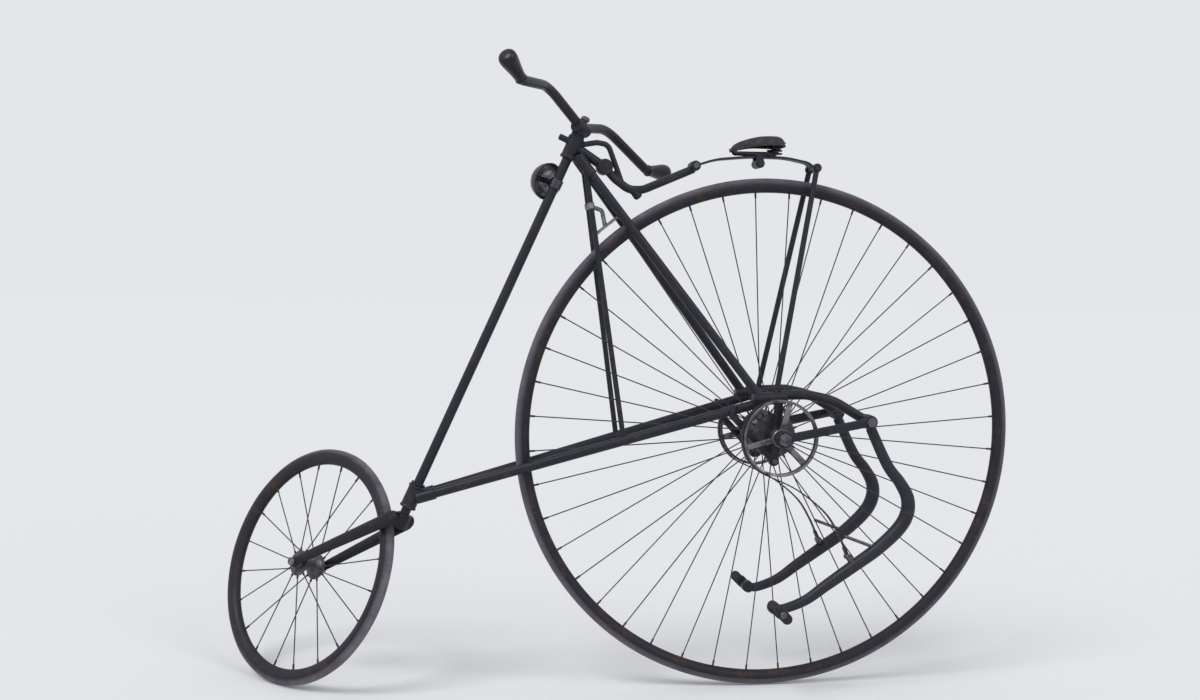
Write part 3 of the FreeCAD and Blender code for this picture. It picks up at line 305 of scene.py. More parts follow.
def wire_spokes(end, count):
    """Rods from each flange in turn to the rim, at equal steps round the wheel, each with a nipple
    at the rim and a lock nut at the flange."""
    centre, axis = joint_line(end + "_wheel_spin")
    flange, out = flanges[end]
    first = np.cross((0, 0, 1) if end == "rear" else steer_axis, axis)
    first /= np.linalg.norm(first)
    second = np.cross(axis, first)
    grids = []
    for k in range(count):
        angle = 2 * math.pi * (k + 0.5) / count
        side = 1 if k % 2 else -1
        spread = math.cos(angle) * first - math.sin(angle) * second
        near = centre + spread * flange + axis * side * out
        far = centre + spread * (tyre_radius[end] - rim_reach[end]) + axis * side * NIPPLE_OFFSET
        along = (far - near) / np.linalg.norm(far - near)
        grids += [rod(near - along * 0.004, far, WIRE_RADIUS, 8),
                  rod(far - along * 0.013, far + along * 0.002, WIRE_RADIUS * 1.75, 8),
                  rod(near, near + along * 0.007, WIRE_RADIUS * 1.9, 6)]
    mesh_piece(end + "_spoke_wires", grids, spoke_iron, end + "_spokes", end + "_wheel")


WIRE_RADIUS = 0.0015
NIPPLE_OFFSET = 0.0028
flanges = {"rear": (0.056, 0.058), "front": (0.033, 0.028)}
spoke_iron = japanned_iron("rusted_spoke_wire", "#23242d", "#3a3a44", 1.4, 0.42)
steer_foot, steer_axis = joint_line("steering")
wire_spokes("rear", 44)


# Hubs: turned iron spools with a thin flange at each end. The bearing iron is bare, browned and
# oiled dark, with fine pits and paler spots in them.

def worn_iron(name, base, bright, roughness, grain):
    """Bare forged or turned iron: metallic and dark, with a browned oil film in patches of about
    22 mm and pits as wide as the given grain."""
    iron, place = new_material(name)
    film = add(iron, "TexNoise", {"Vector": place, "Scale": 1 / 0.022, "Detail": 7.0, "Roughness": 0.65})
    pits = add(iron, "TexNoise", {"Vector": place, "Scale": 1 / grain, "Detail": 5.0, "Roughness": 0.6})
    stain = add(iron, "MapRange", {"Value": film, "From Min": 0.48, "From Max": 0.66})
    metal = add(iron, "Mix", {"data_type": "RGBA", 0: pits, 6: linear(base), 7: linear(bright)}, 2)
    colour = add(iron, "Mix", {"data_type": "RGBA", 0: stain, 6: metal, 7: linear("#3a2a22")}, 2)
    gloss = add(iron, "MapRange", {"Value": film, "From Min": 0.25, "From Max": 0.75,
                                   "To Min": roughness - 0.1, "To Max": roughness + 0.22})
    bare = add(iron, "MapRange", {"Value": stain, "To Min": 0.95, "To Max": 0.35})
    bump = add(iron, "Bump", {"Height": pits, "Strength": 0.3, "Distance": 0.0005})
    shader = add(iron, "BsdfPrincipled", {"Base Color": colour, "Roughness": gloss, "Metallic": bare,
                                          "Normal": bump})
    add(iron, "OutputMaterial", {"Surface": shader})
    return iron


oiled_iron = worn_iron("oiled_turned_iron", "#4a4b55", "#6d6e78", 0.42, 0.002)


def spool(end, barrel, half, thick):
    """A lathe form: neck, flange with rounded rim, barrel that swells out of each flange by a
    quarter sine, flange, neck."""
    flange, out = flanges[end]
    neck = barrel * 0.85
    outer = [(neck - 0.001, half), (neck, half - 0.001), (neck, out + thick * 2)]
    edge = [(flange - thick / 2 + thick / 2 * math.sin(turn), out + thick / 2 * math.cos(turn))
            for turn in np.linspace(0, math.pi, 9)]
    root = [(barrel + 0.010 * (1 - math.sin(share * math.pi / 2)), out - thick / 2 - 0.012 * share)
            for share in np.linspace(0, 1, 9)]
    right = outer + [(neck + 0.003, out + thick / 2)] + edge + root
    profile = right + [(radius, -height) for radius, height in reversed(right)]
    grid = turn_round(profile, *joint_line(end + "_wheel_spin"), 64)
    mesh_piece(end + "_hub_spool", [grid], oiled_iron, end + "_hub", end + "_wheel", 50)


spool("rear", 0.024, 0.079, 0.006)


# The axle: a plain iron bar that turns with the big wheel, ended by a washer and a six-sided nut
# on each side. It is bare and oiled dark, like the hub.

def hex_nut(centre, axis, across, thick, start=(0, 0, 1)):
    """A six-sided nut whose corners are turned back at both faces."""
    ease = 0.12 * thick
    profile = [(across * 0.54, -thick / 2), (across * 0.577, -thick / 2 + ease),
               (across * 0.577, thick / 2 - ease), (across * 0.54, thick / 2)]
    return turn_round(profile, centre, axis, 6, start)


def crossbar(centre, half, radius, count, ease=0.25, along=(0, 1, 0)):
    """A rod that reaches equally far to both sides of its centre."""
    reach = np.asarray(along) * half
    return rod(centre - reach, centre + reach, radius, count, ease)


low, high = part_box("rear_axle")
wheel_centre = joint_line("rear_wheel_spin")[0]
sideways = np.array([0.0, 1.0, 0.0])
grids = [crossbar(wheel_centre, high.y, 0.0099, 32)]
washer = [(0.0156, -0.0008), (0.016, 0), (0.0156, 0.0008)]
for side in (1, -1):
    face = wheel_centre + sideways * high.y * side
    grids += [hex_nut(face - sideways * side * 0.0055, sideways, 0.029, 0.0085),
              turn_round(washer, face - sideways * side * 0.0105, sideways, 36)]
mesh_piece("rear_axle_bar", grids, oiled_iron, "rear_axle", "rear_wheel")


# The small wheel is built like the big one, in its own leaning plane: tyre, rim, twenty spokes and
# a narrower spool. Its axle is of brighter steel, with cones and nuts, and is held in the fork's
# eyes.

# The small tyre's rubber is given darker tones than the big tyre's, though both are one rubber: painted
# shade on the small tyre.
solid_tyre("front", 260, ("#232129", "#38343e", "#746e79"))
crescent_rim("front", 260)
wire_spokes("front", 20)
spool("front", 0.015, 0.037, 0.005)

bright_steel = worn_iron("handled_steel", "#8b8b90", "#b2b2b4", 0.34, 0.0015)
hub_place, hub_axis = joint_line("front_wheel_spin")
grids = [crossbar(hub_place, 0.0588, 0.0048, 24, along=hub_axis)]
cone = [(0.006, 0.0374), (0.0088, 0.0385), (0.0088, 0.0408)]
for side in (1, -1):
    grids += [hex_nut(hub_place + hub_axis * side * 0.0548, hub_axis, 0.019, 0.0070, steer_axis),
              turn_round(cone, hub_place, hub_axis * side, 32, steer_axis)]
mesh_piece("front_axle_bar", grids, bright_steel, "front_axle", "steering")


# Strap drums: an open iron hoop on three flat arms, keyed to a clutch collar on each end of the
# axle. The hoop's edges are rolled to keep the strap on, and the strap has kept the iron bright.

def oblong(half_wide, half_deep, power=0.35, count=20):
    """A rounded oblong section: a circle whose cosine and sine are raised to a low power."""
    angle = round_steps(count)
    wide = np.sign(np.cos(angle)) * np.abs(np.cos(angle)) ** power * half_wide
    deep = np.sign(np.sin(angle)) * np.abs(np.sin(angle)) ** power * half_deep
    return np.stack([wide, deep], -1)


def flat_bar(start, end, width, thick, across, ends=0.0):
    """A bar of rounded oblong section; across gives its thin direction. With ends, each end is
    drawn in by a quarter circle over that length."""
    start, end, across = (np.asarray(value, float) for value in (start, end, across))
    run = end - start
    length = np.linalg.norm(run)
    run = run / length
    wide = np.cross(across, run)
    shape = oblong(thick / 2, width / 2, 0.45, 24)
    ease = min(0.001, thick / 5)
    if ends:
        turn = np.linspace(0.12, 1, 8) * np.pi / 2
        curve, shares = np.sin(turn), 1 - np.cos(turn)
        rows = np.concatenate([shares * ends, length - shares[::-1] * ends])
        widths = np.concatenate([curve, curve[::-1]])
    else:
        rows = np.array([0, ease, length - ease, length])
        widths = np.array([1 - 2 * ease / width, 1, 1, 1 - 2 * ease / width])
    thin = np.where((rows < ease) | (rows > length - ease), 0.8, 1.0)
    points = (start + rows[:, None, None] * run + shape[None, :, :1] * thin[:, None, None] * across
              + shape[None, :, 1:] * widths[:, None, None] * wide)
    return points, False


def drum_hoop(radius, wall, half):
    """The hoop's section: a thin band with a bead rolled outwards on each edge."""
    bead = np.linspace(-0.5 * np.pi, np.pi, 10) + np.pi / 2
    edge = 0.0016
    right = np.stack([radius - wall * 0.3 + edge * np.sin(bead) * 0.8,
                      half - edge - edge * np.cos(bead)], -1)
    inner = np.array([[radius - wall, half - 0.003], [radius - wall, -half + 0.003]])
    outer = np.array([[radius - 0.0012, -half + 0.004], [radius - 0.0012, half - 0.004]])
    left = right[::-1] * [1, -1]
    return np.vstack([outer, right, inner, left])


HANDS = (("left", 1), ("right", -1))
drum_iron = worn_iron("strap_polished_iron", "#5c5c64", "#8e8e93", 0.36, 0.0018)
collar = [(0.0105, -0.0130), (0.0215, -0.0130), (0.023, -0.0115), (0.023, 0.0115), (0.0215, 0.0130),
          (0.0105, 0.0130)]
key_head = [(0.0035, 0), (0.0032, 0.0014), (0.0018, 0.0022)]
for hand, side in HANDS:
    low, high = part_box(hand + "_drum")
    centre = wheel_centre + sideways * (low.y + high.y) / 2
    radius = (high.z - low.z) / 2
    grids = [turn_round(drum_hoop(radius, 0.007, 0.011), centre, sideways, 120, hoop=True),
             turn_round(collar, centre, sideways, 48, hoop=True)]
    for turn in (75, 195, 315):
        angle = math.radians(turn)
        way = np.array([-math.cos(angle), 0, math.sin(angle)])
        key = centre + way * (radius - 0.012) + sideways * side * 0.0036
        grids += [flat_bar(centre + way * 0.018, centre + way * (radius - 0.005), 0.014, 0.0068, sideways),
                  turn_round(key_head, key, sideways * side, 12)]
    mesh_piece(hand + "_drum_hoop", grids, drum_iron, hand + "_drum", hand + "_drum")


# Levers: a forged iron bar on each side that hangs from its pin behind the axle, swells to its
# thickest at the bend and runs forward to the pedal. It is forged in one with its two eyes and
# painted black; the pedal's pin, the strap's hook and a guide pin are let in and riveted.

def flowing(points, count):
    """A smooth line through points: between two of them it is the cubic whose slope at each is
    half the step from the point before it to the point after it."""
    points = np.asarray(points, float)
    padded = np.vstack([2 * points[0] - points[1], points, 2 * points[-1] - points[-2]])
    place = np.linspace(0, len(points) - 1, count)
    span = np.minimum(place.astype(int), len(points) - 2)
    share = (place - span)[:, None]
    before, start, end, after = (padded[span + k] for k in range(4))
    bend = 2 * before - 5 * start + 4 * end - after
    twist = 3 * start - before - 3 * end + after
    return start + 0.5 * ((end - before) * share + bend * share ** 2 + twist * share ** 3)


def carried(path, section, across=1.0, deep=1.0, up=(0, 0, 1)):
    """A section carried along a path: its first number goes along tangent x up, its second square
    to both, and each is multiplied by its own scale at that point of the path."""
    path = np.asarray(path, float)
    tangent = np.gradient(path, axis=0)
    tangent /= np.linalg.norm(tangent, axis=1, keepdims=True)
    side = np.cross(tangent, np.asarray(up, float))
    side /= np.linalg.norm(side, axis=1, keepdims=True)
    top = np.cross(side, tangent)
    across = np.broadcast_to(across, len(path))[:, None, None]
    deep = np.broadcast_to(deep, len(path))[:, None, None]
    points = (path[:, None] + section[None, :, :1] * across * side[:, None]
              + section[None, :, 1:] * deep * top[:, None])
    return points, False


def circle(count):
    """A round section of unit radius."""
    angle = round_steps(count)
    return np.stack([np.cos(angle), np.sin(angle)], -1)


def forged(name, grids, material, node=None, body="frame", grain=0.0018, soften=4):
    """Closed grids made one skin by a voxel remesh of the given grain, whose inner corners are
    then eased like a forging's by moving each point halfway to the mean of its neighbours."""
    piece = mesh_piece(name, grids, material, node, body)
    skin = piece.modifiers.new("joined_skin", "REMESH")
    skin.mode = "VOXEL"
    skin.voxel_size = grain
    skin.use_smooth_shade = True
    ease = piece.modifiers.new("eased_corners", "SMOOTH")
    ease.factor = 0.5
    ease.iterations = soften


def eye(centre, axis, bore, outer, half, count=40):
    """A round eye: the space between two cylinders about the axis, its outer corners eased."""
    ease = 0.0012
    profile = [(bore, -half), (outer - ease, -half), (outer, ease - half), (outer, half - ease),
               (outer - ease, half), (bore, half)]
    return turn_round(profile, centre, axis, count, hoop=True)


lever_paint = japanned_iron("black_forged_lever", "#171922", "#2b2e3a", 0.8, 0.38)
LEVER_LINE = np.array([
    (0, 0, 13), (52, 106, 14), (87, 152, 15), (109, 192, 17), (109, 232, 18), (87, 271, 18), (34, 320, 17),
    (-28, 363, 16), (-96, 409, 14.5), (-150, 446, 13), (-204, 466, 12), (-232, 465, 11),
]) / 1000
LEVER_PLANE = 0.125
HOOK_PLACE = np.array([-0.181, 0, -0.298])
for hand, side in HANDS:
    out = sideways * side
    pin = joint_line(hand + "_lever_swing")[0]
    toe = joint_line(hand + "_pedal_spin")[0] * [1, 0, 1] + out * LEVER_PLANE
    line = flowing(LEVER_LINE, 140)
    line = line[np.hypot(line[:, 0], line[:, 1]) > 0.013]
    path = pin + np.stack([-line[:, 0], np.zeros(len(line)), -line[:, 1]], -1)
    grids = [carried(path, circle(32), line[:, 2], line[:, 2] * 0.94, up=(0, 1, 0)),
             eye(pin, sideways, 0.0093, 0.018, 0.011),
             crossbar(toe, 0.013, 0.0152, 36, 0.15)]
    forged(hand + "_lever_forging", grids, lever_paint, hand + "_lever", hand + "_lever")

    tip = toe + out * 0.085
    guide = pin + np.array([-0.030, 0, -0.318])
    guide_tip = pin + np.array([0.052, -side * 0.004, -0.288])
    hook = wheel_centre * [1, 0, 1] + HOOK_PLACE
    peg = hook + out * LEVER_PLANE
    grids = [rod(toe, tip, 0.0059, 20),
             rod(tip - out * 0.0012, tip + out * 0.004, 0.009, 24),
             rod(guide, guide_tip, 0.0041, 14, 0.6),
             rod(hook + out * 0.106, peg + out * 0.003, 0.0078, 20),
             rod(peg, peg + np.array([-0.011, 0, -0.017]), 0.0078, 20)]
    mesh_piece(hand + "_lever_pins", grids, oiled_iron, None, hand + "_lever")


# Pedals: two iron cheeks on a tube that turns on the lever's pin, with two grooved blocks of black
# rubber between them, each on a rod whose riveted ends show. The blocks' ends are worn round.

pedal_rubber = aged_rubber("pedal_block_rubber", (0, 0, 0), 9.0, "#18171d", "#292730", "#45414b")


def rubber_block(centre, tilt, length, side_length):
    """A square block along Y whose four faces have shallow grooves: the half-width falls by 0.6 mm
    in a narrow dip seven times along it, and its corners are rounded by a high power."""
    angle = round_steps(40)
    power = 6.0
    fall = (np.abs(np.cos(angle)) ** power + np.abs(np.sin(angle)) ** power) ** (1 / power)
    reach = side_length / 2 / fall
    rows = np.linspace(-0.5, 0.5, 85)
    dip = np.clip(np.cos(rows * 2 * np.pi * 7), 0.55, 1) - 0.55
    ends = 1 - 0.12 * np.clip((np.abs(rows) - 0.47) / 0.03, 0, 1) ** 2
    swell = (ends - dip * 0.14)[:, None]
    turned = angle + tilt
    xs = reach * np.cos(turned) * swell
    zs = reach * np.sin(turned) * swell
    ys = np.broadcast_to((rows * length)[:, None], xs.shape)
    return np.asarray(centre, float) + np.stack([xs, ys, zs], -1), False


PEDAL_TILT = math.radians(45)
fore = np.array([math.cos(PEDAL_TILT), 0, math.sin(PEDAL_TILT)])
BLOCK_PLACES = (-0.019, 0.019)
stud_head = [(0.004, -0.0012), (0.004, 0.0006), (0.0022, 0.0016)]
for hand, _ in HANDS:
    middle = joint_line(hand + "_pedal_spin")[0]
    grids = [eye(middle, sideways, 0.0064, 0.0095, 0.031, 28)]
    for end in (-0.029, 0.029):
        cheek = middle + sideways * end
        grids.append(flat_bar(cheek - fore * 0.028, cheek + fore * 0.028, 0.026, 0.004, sideways, 0.013))
    for end in (-1, 1):
        for way in BLOCK_PLACES:
            stud = middle + sideways * end * 0.0312 + fore * way
            grids.append(turn_round(stud_head, stud, sideways * end, 14))
    mesh_piece(hand + "_pedal_cheeks", grids, lever_paint, hand + "_pedal_frame", hand + "_pedal")
    grids = [rubber_block(middle + fore * way, PEDAL_TILT, 0.054, 0.018) for way in BLOCK_PLACES]
    mesh_piece(hand + "_pedal_blocks", grids, pedal_rubber, hand + "_pedal_rubbers", hand + "_pedal",
               60)


# Straps: a band of harness leather that lies over each drum and hangs to its clip on the lever.
# Vegetable-tanned and blackened with grease, with a waxed stitch along each edge, and ended in an
# iron clip that hooks over the lever's peg.

def harness_leather(name, base, worn):
    """Vegetable-tanned leather: a pebbled grain of about 2 mm, darkened with grease, its high
    spots rubbed brown."""
    leather, place = new_material(name)
    grain = add(leather, "TexVoronoi", {"feature": "DISTANCE_TO_EDGE", "Vector": place,
                                        "Scale": 1 / 0.0022})
    crease = add(leather, "TexNoise", {"Vector": place, "Scale": 1 / 0.014, "Detail": 8.0,
                                       "Roughness": 0.6})
    blotch = add(leather, "TexNoise", {"Vector": place, "Scale": 1 / 0.04, "Detail": 4.0})
    pebble = add(leather, "MapRange", {"Value": grain, "From Max": 0.22})
    rubbed = add(leather, "MapRange", {"Value": crease, "From Min": 0.47, "From Max": 0.72})
    tone = add(leather, "Math", {"operation": "MULTIPLY", 0: rubbed, 1: blotch})
    colour = add(leather, "Mix", {"data_type": "RGBA", 0: tone, 6: linear(base), 7: linear(worn)}, 2)
    rough = add(leather, "MapRange", {"Value": rubbed, "To Min": 0.68, "To Max": 0.42})
    height = add(leather, "Math", {"operation": "MULTIPLY_ADD", 0: pebble, 1: 0.6, 2: crease})
    bump = add(leather, "Bump", {"Height": height, "Strength": 0.5, "Distance": 0.0006})
    shader = add(leather, "BsdfPrincipled", {"Base Color": colour, "Roughness": rough, "Normal": bump,
                                             "Specular IOR Level": 0.45})
    add(leather, "OutputMaterial", {"Surface": shader})
    return leather


strap_leather = harness_leather("greased_harness_leather", "#1d1a1f", "#463a36")
DRUM_PLANE = 0.117
STRAP_RADIUS = 0.0978
around = np.radians(np.linspace(60, -65, 40))
wrap = np.stack([np.cos(around), np.zeros(40), np.sin(around)], -1) * STRAP_RADIUS
leave = wrap[-1] + np.array([math.sin(around[-1]), 0, -math.cos(around[-1])]) * 0.096
free = flowing([wrap[-1], leave, (-0.118, 0, -0.1857), (-0.155, 0, -0.2407), (-0.1775, 0, -0.2903)], 64)
rivet_head = [(0.0028, 0), (0.0026, 0.0010), (0.0013, 0.0016)]
for hand, side in HANDS:
    hub_side = wheel_centre + sideways * side * DRUM_PLANE
    path = hub_side + np.vstack([wrap, free[1:]])
    grids = [carried(path, oblong(0.0015, 0.008), up=sideways)]
    for edge in (-0.006, 0.006):
        for start, end in zip(path[2:-2:2], path[3:-1:2]):
            lift = np.cross(sideways, end - start)
            lift *= 0.0014 / np.linalg.norm(lift)
            for face in (-1, 1):
                near = start + sideways * edge + lift * face
                grids.append(rod(near, near + (end - start) * 0.7, 0.00045, 5))
    strap = mesh_piece(hand + "_strap_leather", grids, strap_leather, body=None)
    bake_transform(strap)
    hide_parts(hand + "_strap")

    low_end = path[-1]
    hook = hub_side + HOOK_PLACE
    pull = (low_end - hook) / np.linalg.norm(low_end - hook)
    flat_way = np.cross(sideways, pull)
    grids = []
    for face in (-0.0027, 0.0027):
        start = low_end + flat_way * face - pull * 0.004
        grids.append(flat_bar(start, start + pull * 0.022, 0.0175, 0.0016, flat_way, 0.003))
    for up_strap in (0.006, 0.013):
        for face in (-1, 1):
            rivet = low_end + pull * up_strap + flat_way * face * 0.0034
            grids.append(turn_round(rivet_head, rivet, flat_way * face, 12))
    mesh_piece(hand + "_strap_clip", grids, oiled_iron, None, hand + "_lever")


# Heads: two sleeves on the leaning steering column, cast in one with the sockets that the frame's
# tubes are brazed into. The upper one also carries the boss of the spring bracket and a lamp lug.

TUBE_PLANE = 0.084
line_back = np.array([-steer_axis[2], 0.0, steer_axis[0]])
sleeve_top = (wheel_centre[2] + tyre_radius["rear"] + 0.086 - steer_foot[2]) / steer_axis[2]
sleeve_foot = sleeve_top - 0.058


def by_line(height, back=0.0, left=0.0):
    """A place by the steering line: height along it, back square to it, and to the left."""
    return steer_foot + height * steer_axis + back * line_back + left * sideways


def by_axle(forward, left, rise):
    """A place by the middle of the big wheel's axle."""
    return wheel_centre + np.array([forward, left, rise])


def by_seat(forward, left, drop):
    """A place forward of the big wheel's axle, to the left and below the saddle's top."""
    return np.array([wheel_centre[0] + forward, left, -drop])


def sleeve(low, high):
    """A turned sleeve round the column with a bead at each end that stands out by nearly 2 mm."""
    profile = [(0.0123, low), (0.0198, low), (0.0208, low + 0.0012), (0.0208, low + 0.005),
               (0.019, low + 0.0065), (0.019, high - 0.0065), (0.0208, high - 0.005),
               (0.0208, high - 0.0012), (0.0198, high), (0.0123, high)]
    return turn_round(profile, steer_foot, steer_axis, 56, hoop=True)


def toward(start, end, length):
    """The point at a length from start on the way to end."""
    return start + (end - start) / np.linalg.norm(end - start) * length


def socket(ends, first, last, radius, count=28, ease=0.12):
    """A rod on the line between two ends, from one length along it to another."""
    return rod(toward(*ends, first), toward(*ends, last), radius, count, ease)


boss = by_line(sleeve_foot + 0.022, 0.092)
lug_height = sleeve_top - 0.016
upper_head = [sleeve(sleeve_foot, sleeve_top),
              rod(by_line(sleeve_foot + 0.034, 0.0165), boss, 0.012, 28),
              crossbar(boss, 0.018, 0.020, 40, 0.1),
              rod(by_line(lug_height, -0.0165), by_line(lug_height, -0.042), 0.008, 24, 0.3)]
lower_head = [sleeve(0.072, 0.132)]
upper_ends, lower_ends, strut_ends = {}, {}, {}
for side in (1, -1):
    plane = side * TUBE_PLANE
    upper_ends[side] = by_line(sleeve_foot + 0.017, 0.017, side * 0.015), by_axle(0.046, plane, 0.1003)
    lower_ends[side] = by_line(0.094, -0.003, side * 0.015), by_axle(0.010, plane, 0.0943)
    strut_ends[side] = by_line(sleeve_foot + 0.001, 0.047, side * 0.018), toward(*lower_ends[side], 0.543)
    upper_head.append(socket(upper_ends[side], 0.002, 0.062, 0.014))
    lower_head.append(socket(lower_ends[side], 0.015, 0.064, 0.015))
forged("upper_head_casting", upper_head, black_japan, "upper_head", grain=0.0014)
forged("lower_head_casting", lower_head, black_japan, "lower_head", grain=0.0014)


# Tubes: drawn iron, straight from the heads back to the axle brackets, one upper and one lower on
# each side of the big wheel, with a thin solid strut between them that also carries the brake, and
# a thin stay from each bracket up to the tail of the seat spring. All are brazed and japanned.

spring_tail = by_seat(-0.106, 0, 0.078)
for hand, side in HANDS:
    stay_ends = spring_tail + sideways * side * 0.030, by_axle(0.004, side * TUBE_PLANE, 0.1043)
    for node, ends, radius, skip in (("upper_tube", upper_ends[side], 0.011, 0.05),
                                     ("lower_tube", lower_ends[side], 0.012, 0.05),
                                     ("front_strut", strut_ends[side], 0.0065, 0),
                                     ("seat_stay", stay_ends, 0.007, 0)):
        grids = [rod(toward(*ends, skip), ends[1], radius, 32)]
        if node == "seat_stay":
            grids.append(eye(ends[0], sideways, 0.0071, 0.0112, 0.006, 28))
        mesh_piece("%s_%s_run" % (hand, node), grids, black_japan, "%s_%s" % (hand, node))


# Axle brackets: on each side a barrel that both tubes run into, and under it a forged triangle
# whose boss is the axle's bearing. An oil cup stands on the boss, and a bolt closes the toe.

BRACKET_PLANE = 0.089
oil_cup = [(0.0028, 0), (0.0028, 0.006), (0.0046, 0.007), (0.0046, 0.012), (0.002, 0.0135)]
for hand, side in HANDS:
    plane = side * BRACKET_PLANE
    tubes = side * TUBE_PLANE
    toe = by_axle(0.008, plane, -0.060)
    grids = [rod(by_axle(0.064, tubes, 0.0943), by_axle(-0.024, tubes, 0.0983), 0.016, 40, 0.15),
             eye(by_axle(0, plane, 0), sideways, 0.0104, 0.024, 0.008, 48),
             flat_bar(by_axle(-0.002, plane, 0.0963), by_axle(0, plane, 0.017), 0.022, 0.012, sideways),
             flat_bar(by_axle(0.002, plane, -0.017), toe, 0.022, 0.012, sideways),
             flat_bar(toe, by_axle(0.120, plane, 0.0583), 0.018, 0.012, sideways),
             crossbar(toe, 0.007, 0.013, 32, 0.1),
             rod(by_axle(0.116, plane, 0.0545), by_axle(0.109, side * 0.0865, 0.080), 0.0085, 20)]
    forged(hand + "_bracket_forging", grids, black_japan, hand + "_axle_bracket")
    out = sideways * side
    grids = [hex_nut(toe + out * 0.0095, sideways, 0.013, 0.005),
             rod(toe, toe + out * 0.0145, 0.0038, 16),
             turn_round(oil_cup, by_axle(-0.016, plane, 0.0165), (-0.7, 0, 0.714), 20)]
    mesh_piece(hand + "_bracket_bolt", grids, oiled_iron)


# Lever carriers: an arched forging on each side reaches back from the bracket's barrel to the
# lever's pin, and a flat link outside the drum ties that pin to the axle's end.

def bent(points, radii, spacing=0.004):
    """The middle line of a bent rod: straight runs joined at each corner by an arc of the given
    radius that touches both."""
    line = [np.asarray(points[0], float)[None]]
    for before, corner, after, radius in zip(points, points[1:], points[2:], radii):
        before, corner, after = (np.asarray(place, float) for place in (before, corner, after))
        into = (corner - before) / np.linalg.norm(corner - before)
        onward = (after - corner) / np.linalg.norm(after - corner)
        turn = math.acos(np.clip(into @ onward, -1, 1))
        inward = onward - into * (into @ onward)
        inward /= np.linalg.norm(inward)
        first = corner - into * radius * math.tan(turn / 2)
        angle = np.linspace(0, turn, max(4, int(turn * radius / spacing) + 2))[:, None]
        line.append(first + into * radius * np.sin(angle) + inward * radius * (1 - np.cos(angle)))
    line.append(np.asarray(points[-1], float)[None])
    return np.vstack(line)


LINK_PLANE = 0.146
for hand, side in HANDS:
    out = sideways * side
    pivot = joint_line(hand + "_lever_swing")[0] * [1, 0, 1]
    arch = bent([by_axle(-0.006, side * TUBE_PLANE, 0.1043), by_axle(-0.072, side * 0.092, 0.1063),
                 by_axle(-0.140, side * 0.097, 0.0923), pivot + out * 0.100 + [0, 0, 0.002]],
                [0.110, 0.160])
    grids = [carried(arch, circle(28) * 0.0125, up=sideways),
             rod(pivot + out * 0.093, pivot + out * 0.111, 0.017, 36, 0.1)]
    forged(hand + "_carrier_arch", grids, black_japan, hand + "_lever_carrier")
    centre, back = wheel_centre + out * LINK_PLANE, pivot + out * LINK_PLANE
    grids = [flat_bar(toward(centre, back, 0.014), back, 0.022, 0.010, sideways),
             eye(centre, sideways, 0.0104, 0.021, 0.008),
             crossbar(back, 0.007, 0.017, 36, 0.1)]
    forged(hand + "_carrier_link", grids, black_japan, grain=0.0014, soften=3)
    grids = [rod(pivot + out * 0.094, pivot + out * 0.159, 0.0088, 28),
             hex_nut(pivot + out * 0.1565, sideways, 0.022, 0.006, (1, 0, 0))]
    mesh_piece(hand + "_lever_pivot_pin", grids, oiled_iron)


# Steering column and fork: a long straight iron rod through both heads, its foot forged into a
# crown with two tapered oval blades that lead to the small wheel's eyes.

forward = np.cross(hub_axis, steer_axis)


def steered(ahead, left, up):
    """A place by the steering line's foot, in the turned small wheel's own directions."""
    return steer_foot + ahead * forward + left * hub_axis + up * steer_axis


nut = [(0.0122, 0.0006), (0.0172, 0.0006), (0.0178, 0.0012), (0.0178, 0.0052), (0.0172, 0.0058),
       (0.0122, 0.0058)]
grids = [rod(by_line(0.056), by_line(sleeve_top + 0.006), 0.012, 40, 0.05),
         turn_round(nut, by_line(sleeve_top), steer_axis, 40, hoop=True),
         turn_round(nut, by_line(0.1325), steer_axis, 40, hoop=True)]
mesh_piece("steering_column_rod", grids, black_japan, "steering_column", "steering")

# The fork's japan is darker than the frame's, though it is the same black japan: painted shade on the
# fork.
fork_shaded_japan = japanned_iron("thick_japan_on_fork", "#0c0d13", "#181a22", 0.4, 0.36)
grids = [rod(by_line(0.018), by_line(0.0565), 0.0188, 44, 0.12),
         rod(steered(0.004, -0.036, 0.038), steered(0.004, 0.036, 0.038), 0.017, 40, 0.3)]
share = np.linspace(0, 1, 40)
for side in (1, -1):
    first, last = steered(0.004, side * 0.030, 0.038), steered(0.2477, side * 0.046, -0.190)
    path = first + share[:, None] * (last - first)
    place = hub_place + hub_axis * side * 0.046
    grids += [carried(path, circle(28), 0.0185 - 0.006 * share, 0.008 - 0.0025 * share, up=hub_axis),
              crossbar(place, 0.005, 0.013, 32, 0.12, hub_axis)]
forged("front_fork_forging", grids, fork_shaded_japan, "front_fork", "steering")


# Handlebar: one bar bent to a moustache and japanned like the frame, held by a forged clamp on the
# column's head, with a pear-shaped grip of turned black horn driven on each end.

def black_horn(name):
    """Turned and polished buffalo horn: near black, with faint brown streaks of about 6 mm and a
    soft gloss dulled by the hands."""
    horn, place = new_material(name)
    streak = add(horn, "TexNoise", {"Vector": place, "Scale": 1 / 0.006, "Detail": 6.0, "Distortion": 1.2})
    thumb = add(horn, "TexNoise", {"Vector": place, "Scale": 1 / 0.02, "Detail": 4.0})
    brown = add(horn, "MapRange", {"Value": streak, "From Min": 0.5, "From Max": 0.8})
    colour = add(horn, "Mix", {"data_type": "RGBA", 0: brown, 6: linear("#0f0e13"),
                               7: linear("#2c2525")}, 2)
    rough = add(horn, "MapRange", {"Value": thumb, "To Min": 0.2, "To Max": 0.45})
    bump = add(horn, "Bump", {"Height": streak, "Strength": 0.15, "Distance": 0.0004})
    shader = add(horn, "BsdfPrincipled", {"Base Color": colour, "Roughness": rough, "Normal": bump,
                                          "Specular IOR Level": 0.35})
    add(horn, "OutputMaterial", {"Surface": shader})
    return horn


